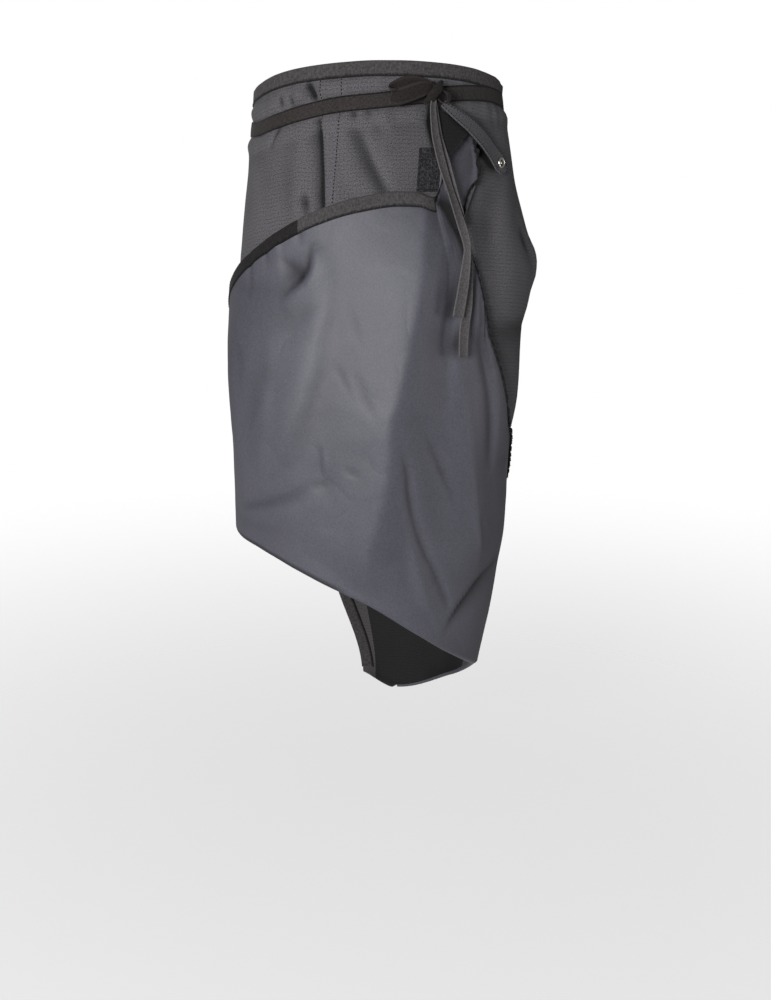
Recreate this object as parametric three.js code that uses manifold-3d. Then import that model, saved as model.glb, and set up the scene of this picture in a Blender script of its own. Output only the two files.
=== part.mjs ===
// Driving apron, as worn: a wrap of coated cloth tied round the waist, with one lower corner
// turned up across the front and fastened at the hip, so that the coated side shows.
// Millimetres, +Z up, the front towards -Y and the wearer's left towards +X.
// The origin is the middle of the waist, level with the tie at the front.

import * as THREE from "three";
import { mergeVertices } from "three/addons/utils/BufferGeometryUtils.js";
import Module from "manifold-3d";

const wasm = await Module();
wasm.setup();

// Driving dimensions
const CLOTH = 1.2; // wall of the coated cloth
const GAP = 0.35; // left between neighbouring pieces
const BINDING_WIDTH = 16; // seen on each side of a bound edge
const BINDING_WALL = 0.9;
const TAPE_WIDTH = 18; // the tie
const TAPE_WALL = 1.1;
const FOLD_WIDTH = 12; // across the soft fold at the foot of the turned-up part
const LAP_BULGE = 3.5; // how far the turned-up part stands off half way up
const PATCH_WALL = 1.5;
const PATCH_ROUND = 0.02; // share of the patch left clear of the cloth's facets
const TAB_WIDTH = 20;
const TAB_WALL = 1.6;
const STUD_POST_RADIUS = 2.6;
const STUD_SEAT = 0.85; // between the stud and the curved face of the tab
const STUD_SIDES = 20;
const TIE_SLACK = 0.4; // between the tie and the bindings that it crosses
const END_TRIM = 1.5; // a binding stops this far short of a corner

// The wrap runs from its right edge, round the front, to its left edge, both at the back.
const RIGHT_EDGE = -157;
const LEFT_EDGE = 198;
const LAP_END = 160; // where the fold runs out into the hem
const EDGE_SWING = { from: -640, fall: 190, turn: 19 }; // the left edge swings in at the hem
const TINY = 1e-6;

// Horizontal sections of the wrap, an ellipse at each height
const SECTIONS = [
  { z: 60, halfWidth: 149.5, front: 112, back: 108, shift: -8.5 },
  { z: 0, halfWidth: 154, front: 116, back: 112, shift: -9 },
  { z: -50, halfWidth: 162, front: 122, back: 119, shift: -7 },
  { z: -98, halfWidth: 168.5, front: 129, back: 129, shift: -5.5 },
  { z: -148, halfWidth: 178.5, front: 136, back: 138, shift: -2 },
  { z: -175, halfWidth: 184, front: 138.5, back: 141, shift: 0.5 },
  { z: -201, halfWidth: 188, front: 140, back: 144, shift: 2 },
  { z: -228, halfWidth: 187.5, front: 141.5, back: 145, shift: 0.5 },
  { z: -256, halfWidth: 185.5, front: 143, back: 146, shift: -2.5 },
  { z: -283, halfWidth: 183, front: 144.5, back: 146, shift: -6.5 },
  { z: -339, halfWidth: 183, front: 146, back: 144, shift: -8 },
  { z: -367, halfWidth: 182.5, front: 146.5, back: 143, shift: -8.5 },
  { z: -396, halfWidth: 180, front: 147, back: 142, shift: -10 },
  { z: -454, halfWidth: 173.5, front: 147, back: 139, shift: -15.5 },
  { z: -547, halfWidth: 171.5, front: 147, back: 135.5, shift: -21.5 },
  { z: -605, halfWidth: 167, front: 146, back: 134, shift: -26 },
  { z: -663, halfWidth: 161, front: 144, back: 133, shift: -28 },
  { z: -752, halfWidth: 151, front: 138, back: 132, shift: -33 },
  { z: -860, halfWidth: 142.5, front: 132, back: 130, shift: -37.5 },
];

// Height of the waist edge and of the tie round the waist
const WAIST = [
  { angle: -162, top: 8, tie: -24 },
  { angle: -90, top: 6, tie: -37 },
  { angle: -71, top: 14, tie: -37 },
  { angle: -51, top: 25, tie: -28 },
  { angle: -36, top: 31, tie: -19 },
  { angle: -16, top: 36, tie: -9 },
  { angle: 0, top: 38, tie: -5 },
  { angle: 10, top: 38, tie: -2 },
  { angle: 28, top: 36, tie: 2 },
  { angle: 45, top: 32, tie: 4.5 },
  { angle: 55, top: 28, tie: 4.5 },
  { angle: 68, top: 22.5, tie: 1.5 },
  { angle: 90, top: 12, tie: -5 },
  { angle: 198, top: 8, tie: -24 },
];

// The foot of the wrap: the fold, then the hem past the end of the fold
const FOOT = [
  { angle: -157, z: -462 },
  { angle: -120, z: -522 },
  { angle: -90, z: -550 },
  { angle: -79, z: -554 },
  { angle: -56, z: -556 },
  { angle: -43, z: -563 },
  { angle: -30, z: -575 },
  { angle: -18, z: -589 },
  { angle: 0, z: -613 },
  { angle: 23, z: -658 },
  { angle: 42, z: -694 },
  { angle: 66, z: -730 },
  { angle: 90, z: -757 },
  { angle: 120, z: -802 },
  { angle: 160, z: -846 },
  { angle: 198, z: -824 },
];

// The free edge of the turned-up part: the place on the fold that each point hangs over, and
// how far it stands off the wrap
const LAP_EDGE = [
  { fold: -157, angle: -157, z: -438, stand: 6 },
  { fold: -130, angle: -130, z: -340, stand: 9 },
  { fold: -85, angle: -83.5, z: -231, stand: 13 },
  { fold: -73, angle: -72, z: -209, stand: 12 },
  { fold: -62, angle: -62, z: -190, stand: 11 },
  { fold: -44, angle: -43.6, z: -157, stand: 7.5 },
  { fold: -26, angle: -25.6, z: -131, stand: 5.5 },
  { fold: -9, angle: -9.6, z: -116, stand: 5 },
  { fold: 8, angle: 5.7, z: -109, stand: 5 },
  { fold: 20, angle: 13.4, z: -110, stand: 5 },
  { fold: 31, angle: 19.9, z: -116, stand: 5 },
  { fold: 38, angle: 25.3, z: -86, stand: 6 },
  { fold: 44, angle: 26.6, z: -40, stand: 6.5 },
  { fold: 50, angle: 30, z: -22, stand: 6.5 },
  { fold: 56, angle: 35.8, z: -26, stand: 6 },
  { fold: 62, angle: 42.1, z: -43, stand: 6 },
  { fold: 68, angle: 43.4, z: -72, stand: 6 },
  { fold: 73, angle: 42.5, z: -92, stand: 6 },
  { fold: 77, angle: 38.5, z: -101, stand: 6 },
  { fold: 81, angle: 34.5, z: -116, stand: 6 },
  { fold: 84, angle: 32, z: -136, stand: 6 },
  { fold: 87, angle: 30.9, z: -164, stand: 6 },
  { fold: 91, angle: 32.9, z: -190, stand: 6 },
  { fold: 95, angle: 35.5, z: -218, stand: 6 },
  { fold: 102, angle: 43, z: -267, stand: 6 },
  { fold: 110, angle: 53, z: -326, stand: 6 },
  { fold: 118, angle: 70, z: -391, stand: 6 },
  { fold: 123, angle: 82.6, z: -421, stand: 6 },
  { fold: 140, angle: 122, z: -600, stand: 7 },
  { fold: 160, angle: 160, z: -815, stand: 8 },
];
const BOUND_EDGE_END = 31.5; // the binding stops here on the fold scale, at the gathered corner

// The throat under the gathered corner: the cloth that hangs over the fold between these two
// places is drawn together along the line between them
const THROAT = {
  start: { fold: 31, angle: 19.9, z: -116 },
  end: { fold: 87, angle: 30.9, z: -164 },
};
const MM_PER_DEGREE = 2.9; // round the front of the form

// Long soft folds: each runs from one place to another, a ridge if its height is positive
const WRAP_FOLDS = [
  { angle: -28, z: 0, toAngle: -23, toZ: -150, spread: 2.8, height: -4.5 },
  { angle: -9, z: -40, toAngle: 3, toZ: -120, spread: 4, height: -2.5 },
  { angle: -62, z: -70, toAngle: -60, toZ: -120, spread: 4, height: -2.5 },
  { angle: 88, z: -176, toAngle: 88, toZ: -226, spread: 20, height: 4 },
  { angle: 148, z: -220, toAngle: 138, toZ: -690, spread: 12, height: 5 },
  { angle: 170, z: -240, toAngle: 166, toZ: -760, spread: 8, height: -4 },
  { angle: -130, z: -170, toAngle: -125, toZ: -430, spread: 12, height: 3 },
];
const FOLD_FADE = 0.25; // share of its length over which a fold fades, past each end and within
const LAP_FADE = { fold: 0.2, edge: 0.15 }; // folds die away near the fold and the free edge
const LAP_FOLDS = [
  { angle: 20, z: -130, toAngle: 3, toZ: -465, spread: 9, height: 10 },
  { angle: 7, z: -455, toAngle: 33, toZ: -690, spread: 4, height: -5 },
  { angle: -28, z: -190, toAngle: -62, toZ: -510, spread: 10, height: 5 },
  { angle: -16, z: -250, toAngle: -46, toZ: -490, spread: 8, height: -4 },
  { angle: 57, z: -640, toAngle: 36, toZ: -700, spread: 5, height: 3 },
  { angle: 36, z: -80, toAngle: 32, toZ: -150, spread: 4, height: 2.5 },
];

// Stretches of columns across the wrap, closer together where the cloth is folded
const COLUMN_STRETCHES = [
  { from: -157, to: -149, count: 1 },
  { from: -149, to: -97, count: 8 },
  { from: -97, to: -37, count: 10 },
  { from: -37, to: -16, count: 8 },
  { from: -16, to: 31, count: 9 },
  { from: 31, to: 95, count: 22 },
  { from: 95, to: 160, count: 10 },
  { from: 160, to: 190, count: 4 },
  { from: 190, to: 198, count: 1 },
];
const WRAP_SHARES = [0.05, 0.12, 0.22, 0.34, 0.47, 0.6, 0.73, 0.87, 1]; // down the wrap
const LAP_SHARES = [0.12, 0.26, 0.4, 0.54, 0.68, 0.84, 1]; // up the lap to its binding
const LEAST_BOUND = 0.4; // the binding never takes more than the rest of the lap
const FOLD_TURNS = 4; // steps round the half circle of the fold

// The fastening patch on the wrap
const PATCH = { from: 15.2, to: 28.4, top: -58, foot: -108, slant: -2.4, columns: 3, rows: 3 };

// The tab from the knot down to the hip: angle, height and stand-off along its middle
const TAB_ROUTE = [
  { angle: 28.6, z: -20, off: 12.5, width: 0.6 },
  { angle: 32, z: -24, off: 14, width: 0.85 },
  { angle: 36.6, z: -30, off: 14.2, width: 1 },
  { angle: 41.9, z: -38.5, off: 12, width: 1 },
  { angle: 47.1, z: -50, off: 8.5, width: 1 },
  { angle: 52.1, z: -62, off: 6, width: 0.95 },
  { angle: 56, z: -70, off: 5, width: 0.9 },
  { angle: 58.9, z: -76, off: 4.6, width: 0.85 },
  { angle: 60.8, z: -81, off: 4.5, width: 0.72 },
  { angle: 62.2, z: -85, off: 4.5, width: 0.35 },
];

// The stud: its place, and its outline below and above the tab
const STUD = { angle: 58.9, z: -76, off: 4.6, holeDepth: 8 };
const STUD_FLANGE = [
  { radius: 0, height: -1.2 },
  { radius: 4.6, height: -1.2 },
  { radius: 5, height: -0.8 },
  { radius: 5, height: 0 },
  { radius: STUD_POST_RADIUS, height: 0 },
];
const STUD_CAP = [
  { radius: STUD_POST_RADIUS, height: 0 },
  { radius: 6.6, height: 0 },
  { radius: 6.6, height: 0.8 },
  { radius: 5.9, height: 1.7 },
  { radius: 4.7, height: 1.9 },
  { radius: 3.8, height: 1.3 },
  { radius: 2.2, height: 1.1 },
  { radius: 1.2, height: 1.6 },
  { radius: 0, height: 1.7 },
];

// The knot, the two loops and the two tails of the bow
const KNOT = { angle: 23.4, z: 5, off: 10.3, wide: 7, deep: 6.2, high: 11, sides: 14, rings: 10 };
const LOOP_ROUTE = [
  { angle: 23.4, z: 9, off: 10, lean: 0.3, width: 0.5 },
  { angle: 19.4, z: 11, off: 11.5, lean: 0.35, width: 0.7 },
  { angle: 15.3, z: 13, off: 13.5, lean: 0.45, width: 1 },
  { angle: 9.4, z: 10, off: 14, lean: 0.5, width: 1 },
  { angle: 5.6, z: 3, off: 11, lean: 0.3, width: 1 },
  { angle: 7.2, z: -2, off: 7.4, lean: 0.1, width: 1 },
  { angle: 13.1, z: -1, off: 6.8, lean: 0.1, width: 0.95 },
  { angle: 19.4, z: 2, off: 7.5, lean: 0.1, width: 0.7 },
  { angle: 23.4, z: 4, off: 9, lean: 0.1, width: 0.5 },
];
const SMALL_LOOP_ROUTE = [
  { angle: 23.4, z: 6, off: 9.5, lean: 0.2, width: 0.6 },
  { angle: 27, z: 5, off: 10.5, lean: 0.2, width: 0.9 },
  { angle: 28.8, z: 3.5, off: 13.5, lean: 0.3, width: 1 },
  { angle: 30.4, z: 0, off: 15, lean: 0.3, width: 1 },
  { angle: 30.8, z: -3, off: 12, lean: 0.2, width: 1 },
  { angle: 29.6, z: -2.5, off: 8.8, lean: 0.1, width: 1 },
  { angle: 27, z: 0, off: 8, lean: 0.1, width: 0.8 },
  { angle: 23.4, z: 2, off: 9, lean: 0.1, width: 0.6 },
];
const LOOP_WIDTH = 15;
const SMALL_LOOP_WIDTH = 9;
const TAIL_WIDTH = 16;
const LOOP_STEPS = 18;
const TAIL_STEPS = 20;
const TAB_STEPS = 16;

// Each tail's route, from the knot down to its cut end
const SHORT_TAIL = [
  { angle: 23.4, z: 4, off: 11.5, turn: 0.1, width: 0.4 },
  { angle: 22.6, z: -6, off: 15.5, turn: 0.15, width: 0.55 },
  { angle: 21.6, z: -16, off: 19, turn: 0.15, width: 0.75 },
  { angle: 20.9, z: -31, off: 21, turn: 0.2, width: 0.95 },
  { angle: 21, z: -49, off: 22, turn: 0.2, width: 1 },
  { angle: 22.3, z: -77, off: 22.5, turn: 0.2, width: 1 },
  { angle: 23.6, z: -105, off: 23.5, turn: 0.2, width: 1 },
  { angle: 24.7, z: -134, off: 25, turn: 0.2, width: 1 },
  { angle: 26.2, z: -162, off: 26, turn: 0.2, width: 1 },
  { angle: 26.7, z: -178, off: 27, turn: 0.15, width: 1 },
  { angle: 25.4, z: -202, off: 27, turn: 0.1, width: 1 },
  { angle: 25.3, z: -226, off: 26.5, turn: 0.05, width: 1 },
  { angle: 25.8, z: -252, off: 26, turn: 0.05, width: 1 },
];
const LONG_TAIL = [
  { angle: 23.4, z: 1, off: 9.5, turn: 0.1, width: 0.4 },
  { angle: 23.3, z: -8, off: 11.5, turn: 0.15, width: 0.55 },
  { angle: 22.9, z: -18, off: 14, turn: 0.2, width: 0.75 },
  { angle: 22.5, z: -31, off: 16, turn: 0.2, width: 0.95 },
  { angle: 22.8, z: -49, off: 17, turn: 0.2, width: 1 },
  { angle: 24.1, z: -77, off: 17.5, turn: 0.2, width: 1 },
  { angle: 25.4, z: -106, off: 18.5, turn: 0.2, width: 1 },
  { angle: 26.5, z: -134, off: 20, turn: 0.2, width: 1 },
  { angle: 27.7, z: -163, off: 21, turn: 0.2, width: 1 },
  { angle: 28.2, z: -181, off: 22, turn: 0.15, width: 1 },
  { angle: 27.8, z: -209, off: 22, turn: 0.1, width: 1 },
  { angle: 28.5, z: -238, off: 22, turn: 0.1, width: 1 },
  { angle: 29.3, z: -268, off: 22, turn: 0.1, width: 1 },
  { angle: 30.4, z: -301, off: 22, turn: 0.1, width: 1 },
];

const COLOURS = {
  cloth: { color: 0x2e2d2f, roughness: 0.75, metalness: 0 },
  tape: { color: 0x242224, roughness: 0.85, metalness: 0 },
  patch: { color: 0x141315, roughness: 0.95, metalness: 0 },
  metal: { color: 0xb9b8b2, roughness: 0.25, metalness: 1 },
};

// Tables and curves

function mix(a, b, share) {
  return a + (b - a) * share;
}

function smooth(share) {
  const t = Math.min(1, Math.max(0, share));
  return t * t * (3 - 2 * t);
}

// A smooth value between the rows of a table, which never overshoots a row.
function fromTable(table, key, at, column) {
  const last = table.length - 1;
  const falls = table[last][key] < table[0][key];
  const place = (i) => (falls ? -table[i][key] : table[i][key]);
  const x = Math.min(place(last), Math.max(place(0), falls ? -at : at));
  let i = 0;
  while (i < last - 1 && x > place(i + 1)) i++;
  const slope = (j) =>
    (table[j + 1][column] - table[j][column]) / (place(j + 1) - place(j));
  const tangent = (j) => {
    if (j === 0) return slope(0);
    if (j === last) return slope(last - 1);
    const before = slope(j - 1);
    const after = slope(j);
    return before * after <= 0 ? 0 : (2 * before * after) / (before + after);
  };
  const span = place(i + 1) - place(i);
  const t = (x - place(i)) / span;
  const rise = t * t * (3 - 2 * t);
  return (
    mix(table[i][column], table[i + 1][column], rise) +
    span * t * (1 - t) * ((1 - t) * tangent(i) - t * tangent(i + 1))
  );
}

// The form of the body under the cloth

function outward(angle, z) {
  const turn = THREE.MathUtils.degToRad(angle);
  const wide = fromTable(SECTIONS, "z", z, "halfWidth");
  const deep = fromTable(SECTIONS, "z", z, Math.cos(turn) > 0 ? "front" : "back");
  return new THREE.Vector3(Math.sin(turn) / wide, -Math.cos(turn) / deep, 0).normalize();
}

function formPoint(angle, z, off = 0) {
  const turn = THREE.MathUtils.degToRad(angle);
  const wide = fromTable(SECTIONS, "z", z, "halfWidth");
  const deep = fromTable(SECTIONS, "z", z, Math.cos(turn) > 0 ? "front" : "back");
  const shift = fromTable(SECTIONS, "z", z, "shift");
  return new THREE.Vector3(shift + wide * Math.sin(turn), -deep * Math.cos(turn), z)
    .addScaledVector(outward(angle, z), off);
}

function foldHeight(folds, angle, z) {
  let height = 0;
  for (const fold of folds) {
    const down = (z - fold.z) / (fold.toZ - fold.z);
    const shareIn = (down + FOLD_FADE) / (2 * FOLD_FADE);
    const shareOut = (1 + FOLD_FADE - down) / (2 * FOLD_FADE);
    const fade = smooth(shareIn) * smooth(shareOut);
    const away = (angle - mix(fold.angle, fold.toAngle, down)) / fold.spread;
    height += fold.height * fade * Math.exp(-away * away);
  }
  return height;
}

function wrapPoint(angle, z, off = 0) {
  const low = smooth((EDGE_SWING.from - z) / EDGE_SWING.fall);
  const past = Math.max(0, (angle - LAP_END) / (LEFT_EDGE - LAP_END));
  const swung = angle - EDGE_SWING.turn * low * past;
  return formPoint(swung, z, off + foldHeight(WRAP_FOLDS, angle, z));
}

function footHeight(angle) {
  return fromTable(FOOT, "angle", angle, "z");
}

function between(a, b, share) {
  return { angle: mix(a.angle, b.angle, share), z: mix(a.z, b.z, share) };
}

function apart(a, b) {
  return Math.hypot((b.angle - a.angle) * MM_PER_DEGREE, b.z - a.z);
}

// Where a column of the turned-up part runs, from the fold at rise 0 to the free edge at rise 1.
function lapPlace(fold, rise) {
  const foot = { angle: fold, z: footHeight(fold) + FOLD_WIDTH / 2 };
  const edge = {
    angle: fromTable(LAP_EDGE, "fold", fold, "angle"),
    z: fromTable(LAP_EDGE, "fold", fold, "z"),
  };
  const across = (fold - THROAT.start.fold) / (THROAT.end.fold - THROAT.start.fold);
  if (across <= 0 || across >= 1) return between(foot, edge, rise);
  const throat = between(THROAT.start, THROAT.end, across);
  const below = apart(foot, throat);
  const turn = below / (below + apart(throat, edge));
  if (rise < turn) return between(foot, throat, rise / turn);
  return between(throat, edge, (rise - turn) / (1 - turn));
}

// A point of the turned-up part.
function lapPoint(fold, rise, off = 0) {
  const { angle, z } = lapPlace(fold, rise);
  const edgeStand = fromTable(LAP_EDGE, "fold", fold, "stand");
  const stand = mix(FOLD_WIDTH, edgeStand, smooth(rise)) + LAP_BULGE * Math.sin(Math.PI * rise);
  const fade = smooth(rise / LAP_FADE.fold) * smooth((1 - rise) / LAP_FADE.edge);
  const folds = foldHeight(LAP_FOLDS, angle, z) * fade;
  const under = Math.max(0, foldHeight(WRAP_FOLDS, angle, z));
  return formPoint(angle, z, off + stand + folds + under);
}

// Solids

function geometry(points, triangles) {
  const made = new THREE.BufferGeometry().setFromPoints(points);
  made.setIndex(triangles.flat());
  return made;
}

function vertexNormals(points, quads) {
  const normals = points.map(() => new THREE.Vector3());
  for (const [a, b, c, d] of quads) {
    const across = points[c].clone().sub(points[a]);
    const normal = across.cross(points[d].clone().sub(points[b])).normalize();
    for (const i of [a, b, c, d]) normals[i].add(normal);
  }
  return normals.map((n) => n.normalize());
}

// A wall of even thickness about a sheet of quads, closed round its free edges.
function wall(points, quads, thickness) {
  const normals = vertexNormals(points, quads);
  const faces = [];
  const edges = new Map();
  const count = points.length;
  for (const quad of quads) {
    const [a, b, c, d] = quad;
    faces.push([a, b, c], [a, c, d]);
    faces.push([a + count, c + count, b + count], [a + count, d + count, c + count]);
    quad.forEach((from, i) => {
      const to = quad[(i + 1) % 4];
      if (!edges.delete(`${to},${from}`)) edges.set(`${from},${to}`, [from, to]);
    });
  }
  for (const [from, to] of edges.values()) {
    faces.push([from, from + count, to], [to, from + count, to + count]);
  }
  const side = (sign) =>
    points.map((p, i) => p.clone().addScaledVector(normals[i], (sign * thickness) / 2));
  return geometry([...side(1), ...side(-1)], faces);
}

// A closed section carried along stations, each a list of its corners in space.
// The crossed side is split along its other diagonal, and a ring has no caps.
function sweep(stations, caps, crossed = -1) {
  const corners = stations[0].length;
  const faces = [];
  const end = (stations.length - 1) * corners;
  const ring = caps.length === 0;
  for (let here = 0; here < end + (ring ? 1 : 0); here += corners) {
    const next = (here + corners) % (end + corners);
    for (let i = 0; i < corners; i++) {
      const j = (i + 1) % corners;
      if (i === crossed) {
        faces.push([here + i, here + j, next + i], [here + j, next + j, next + i]);
      } else {
        faces.push([here + i, here + j, next + j], [here + i, next + j, next + i]);
      }
    }
  }
  for (const [a, b, c, d] of caps) {
    faces.push([c, b, a], [d, c, a]);
    faces.push([end + a, end + b, end + c], [end + a, end + c, end + d]);
  }
  return outsideOut(geometry(stations.flat(), faces));
}

// Turns a closed geometry's faces round if they point inwards.
function outsideOut(made) {
  const p = made.getAttribute("position");
  const index = made.getIndex();
  const corner = (i) => new THREE.Vector3().fromBufferAttribute(p, index.getX(i));
  let volume = 0;
  for (let i = 0; i < index.count; i += 3) {
    volume += corner(i).dot(corner(i + 1).cross(corner(i + 2)));
  }
  if (volume < 0) {
    for (let i = 0; i < index.count; i += 3) {
      const kept = index.getX(i);
      index.setX(i, index.getX(i + 1));
      index.setX(i + 1, kept);
    }
  }
  return made;
}

// A flat strip along stations of { centre, across, out }.
function strip(stations, width, thickness, ring = false) {
  const corners = stations.map(({ centre, across, out, share = 1 }) =>
    [[1, 1], [1, -1], [-1, -1], [-1, 1]].map(([w, t]) =>
      centre.clone()
        .addScaledVector(across, (w * width * share) / 2)
        .addScaledVector(out, (t * thickness) / 2),
    ),
  );
  return sweep(corners, ring ? [] : [[0, 1, 2, 3]]);
}

// A folded binding over an edge: stations of { edge, edgeOut, inner, innerOut }.
// Its two faces are split as the cloth between them is, where the edge or the inner line leads.
const EDGE_LEADS = 5;
const INNER_LEADS = 7;
function binding(stations, crossed) {
  const near = CLOTH / 2 + GAP;
  const far = near + BINDING_WALL;
  const corners = stations.map(({ edge, edgeOut, inner, innerOut }) => {
    const back = edge.clone().sub(inner).normalize();
    const at = (base, normal, along, up) =>
      base.clone().addScaledVector(back, along).addScaledVector(normal, up);
    return [
      at(inner, innerOut, 0, near),
      at(inner, innerOut, 0, far),
      at(edge, edgeOut, GAP + BINDING_WALL, far),
      at(edge, edgeOut, GAP + BINDING_WALL, -far),
      at(inner, innerOut, 0, -far),
      at(inner, innerOut, 0, -near),
      at(edge, edgeOut, GAP, -near),
      at(edge, edgeOut, GAP, near),
    ];
  });
  return sweep(corners, [[0, 1, 2, 7], [2, 3, 6, 7], [3, 4, 5, 6]], crossed);
}

function solid(made) {
  const merged = mergeVertices(new THREE.BufferGeometry()
    .setAttribute("position", made.getAttribute("position"))
    .setIndex(made.getIndex()));
  return new wasm.Manifold(new wasm.Mesh({
    numProp: 3,
    vertProperties: merged.getAttribute("position").array,
    triVerts: new Uint32Array(merged.getIndex().array),
  }));
}

function fromSolid(made) {
  const mesh = made.getMesh();
  return new THREE.BufferGeometry()
    .setAttribute("position", new THREE.BufferAttribute(mesh.vertProperties, 3))
    .setIndex(new THREE.BufferAttribute(mesh.triVerts, 1));
}

// The apron is a group of three: the sewn cloth, the tie with its bow, and the tab
const apron = new THREE.Group();
const sewn = new THREE.Group();
const bow = new THREE.Group();
const fastening = new THREE.Group();
apron.add(sewn, bow, fastening);

function add(group, name, made, finish) {
  made.computeVertexNormals();
  const mesh = new THREE.Mesh(made, new THREE.MeshStandardMaterial(finish));
  mesh.name = name;
  group.add(mesh);
  return mesh;
}

// The cloth: the wrap, its soft fold and the turned-up part are one sheet

const columns = COLUMN_STRETCHES.flatMap(({ from, to, count }) =>
  Array.from({ length: count }, (_, i) => mix(from, to, i / count)),
).concat(LEFT_EDGE);

// Whether the column at this angle goes on round the fold and up.
function hasLap(angle) {
  return angle <= LAP_END + TINY;
}

function topHeight(angle) {
  return fromTable(WAIST, "angle", angle, "top");
}

// Heights down one column of the wrap: the edge, the foot of the binding, then by shares.
function wrapHeights(angle) {
  const top = topHeight(angle);
  const foot = footHeight(angle) + (hasLap(angle) ? FOLD_WIDTH / 2 : 0);
  const start = top - BINDING_WIDTH;
  return [top, start, ...WRAP_SHARES.map((share) => mix(start, foot, share))];
}

// Rises up one column of the turned-up part, with the last step as wide as the binding.
function lapRises(fold) {
  const long = lapPoint(fold, 1).distanceTo(lapPoint(fold, LAP_SHARES[0])) / (1 - LAP_SHARES[0]);
  const bound = Math.max(LEAST_BOUND, 1 - BINDING_WIDTH / long);
  return [...LAP_SHARES.map((share) => share * bound), 1];
}

function foldPoint(angle, step) {
  const turn = (Math.PI * step) / FOLD_TURNS;
  const z = footHeight(angle) + (FOLD_WIDTH / 2) * (1 - Math.sin(turn));
  return wrapPoint(angle, z, (FOLD_WIDTH / 2) * (1 - Math.cos(turn)));
}

function clothColumn(angle) {
  const column = wrapHeights(angle).map((z) => wrapPoint(angle, z));
  if (!hasLap(angle)) return column;
  for (let step = 1; step < FOLD_TURNS; step++) column.push(foldPoint(angle, step));
  column.push(lapPoint(angle, 0));
  return column.concat(lapRises(angle).map((rise) => lapPoint(angle, rise)));
}

const cloth = columns.map(clothColumn);
const starts = cloth.map((_, c) =>
  cloth.slice(0, c).reduce((sum, column) => sum + column.length, 0),
);
const clothPoints = cloth.flat();
const clothQuads = [];
for (let c = 0; c + 1 < cloth.length; c++) {
  const rows = Math.min(cloth[c].length, cloth[c + 1].length);
  for (let r = 0; r + 1 < rows; r++) {
    clothQuads.push([starts[c] + r, starts[c] + r + 1, starts[c + 1] + r + 1, starts[c + 1] + r]);
  }
}
const clothNormals = vertexNormals(clothPoints, clothQuads);
add(sewn, "apron_cloth", wall(clothPoints, clothQuads, CLOTH), COLOURS.cloth);

// Bindings on the edges of the cloth

function clothStation(edge, inner) {
  return {
    edge: clothPoints[edge],
    edgeOut: clothNormals[edge],
    inner: clothPoints[inner],
    innerOut: clothNormals[inner],
  };
}

// Moves a binding's end station in from the corner of the cloth, clear of the next binding.
function pulledIn(station, next, by) {
  const share = by / station.edge.distanceTo(next.edge);
  return {
    edge: station.edge.clone().lerp(next.edge, share),
    edgeOut: station.edgeOut.clone().lerp(next.edgeOut, share).normalize(),
    inner: station.inner.clone().lerp(next.inner, share),
    innerOut: station.innerOut.clone().lerp(next.innerOut, share).normalize(),
  };
}

function trimmed(stations, start, end) {
  const last = stations.length - 1;
  const made = [...stations];
  made[0] = pulledIn(stations[0], stations[1], start);
  made[last] = pulledIn(stations[last], stations[last - 1], end);
  return made;
}

add(sewn, "waist_binding", binding(trimmed(
  columns.map((_, c) => clothStation(starts[c], starts[c] + 1)), END_TRIM, END_TRIM,
), EDGE_LEADS), COLOURS.tape);

const boundColumns = columns.filter((fold) => fold <= BOUND_EDGE_END);
add(sewn, "lap_binding", binding(trimmed(boundColumns.map((_, c) => {
  const edge = starts[c] + cloth[c].length - 1;
  return clothStation(edge, edge - 1);
}), END_TRIM, END_TRIM), INNER_LEADS), COLOURS.tape);

// A binding down a side edge, from the foot of the waist binding to the foot of the wrap.
function sideBinding(column, next, crossed) {
  const stations = [];
  for (let r = 1; r < wrapHeights(columns[column]).length; r++) {
    stations.push(clothStation(starts[column] + r, starts[next] + r));
  }
  return binding(trimmed(stations, END_TRIM, FOLD_WIDTH / 2), crossed);
}
add(sewn, "right_edge_binding", sideBinding(0, 1, EDGE_LEADS), COLOURS.tape);
const lastColumn = columns.length - 1;
add(sewn, "left_edge_binding", sideBinding(lastColumn, lastColumn - 1, INNER_LEADS), COLOURS.tape);

// The tie: one turn of tape round the waist, which the knot sits on

const UP = new THREE.Vector3(0, 0, 1);
const TIE_OFF = CLOTH / 2 + GAP + BINDING_WALL + GAP + TIE_SLACK + TAPE_WALL / 2;
const TIE_STEPS = 66;

function tieStation(angle) {
  const z = fromTable(WAIST, "angle", angle, "tie");
  const half = TAPE_WIDTH / 2;
  const across = formPoint(angle, z + half).sub(formPoint(angle, z - half)).normalize();
  const round = new THREE.Vector3().crossVectors(UP, outward(angle, z));
  return { centre: formPoint(angle, z, TIE_OFF), across, out: round.cross(across).normalize() };
}

add(bow, "waist_tie", strip(Array.from({ length: TIE_STEPS }, (_, i) =>
  tieStation(mix(LEFT_EDGE - 360, LEFT_EDGE, i / TIE_STEPS)),
), TAPE_WIDTH, TAPE_WALL, true), COLOURS.tape);

// The bow

// A bare shape, with only the positions that cutting needs.
function bare(made) {
  return mergeVertices(made.deleteAttribute("normal").deleteAttribute("uv"));
}

// Where a small piece sits: its own Y axis points out of the cloth, or up where it is upright.
function seat({ angle, z, off }, upright) {
  const out = outward(angle, z);
  const y = upright ? UP.clone() : out.clone();
  const x = new THREE.Vector3().crossVectors(UP, out);
  return new THREE.Matrix4().makeBasis(x, y, x.clone().cross(y)).setPosition(formPoint(angle, z, off));
}

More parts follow.
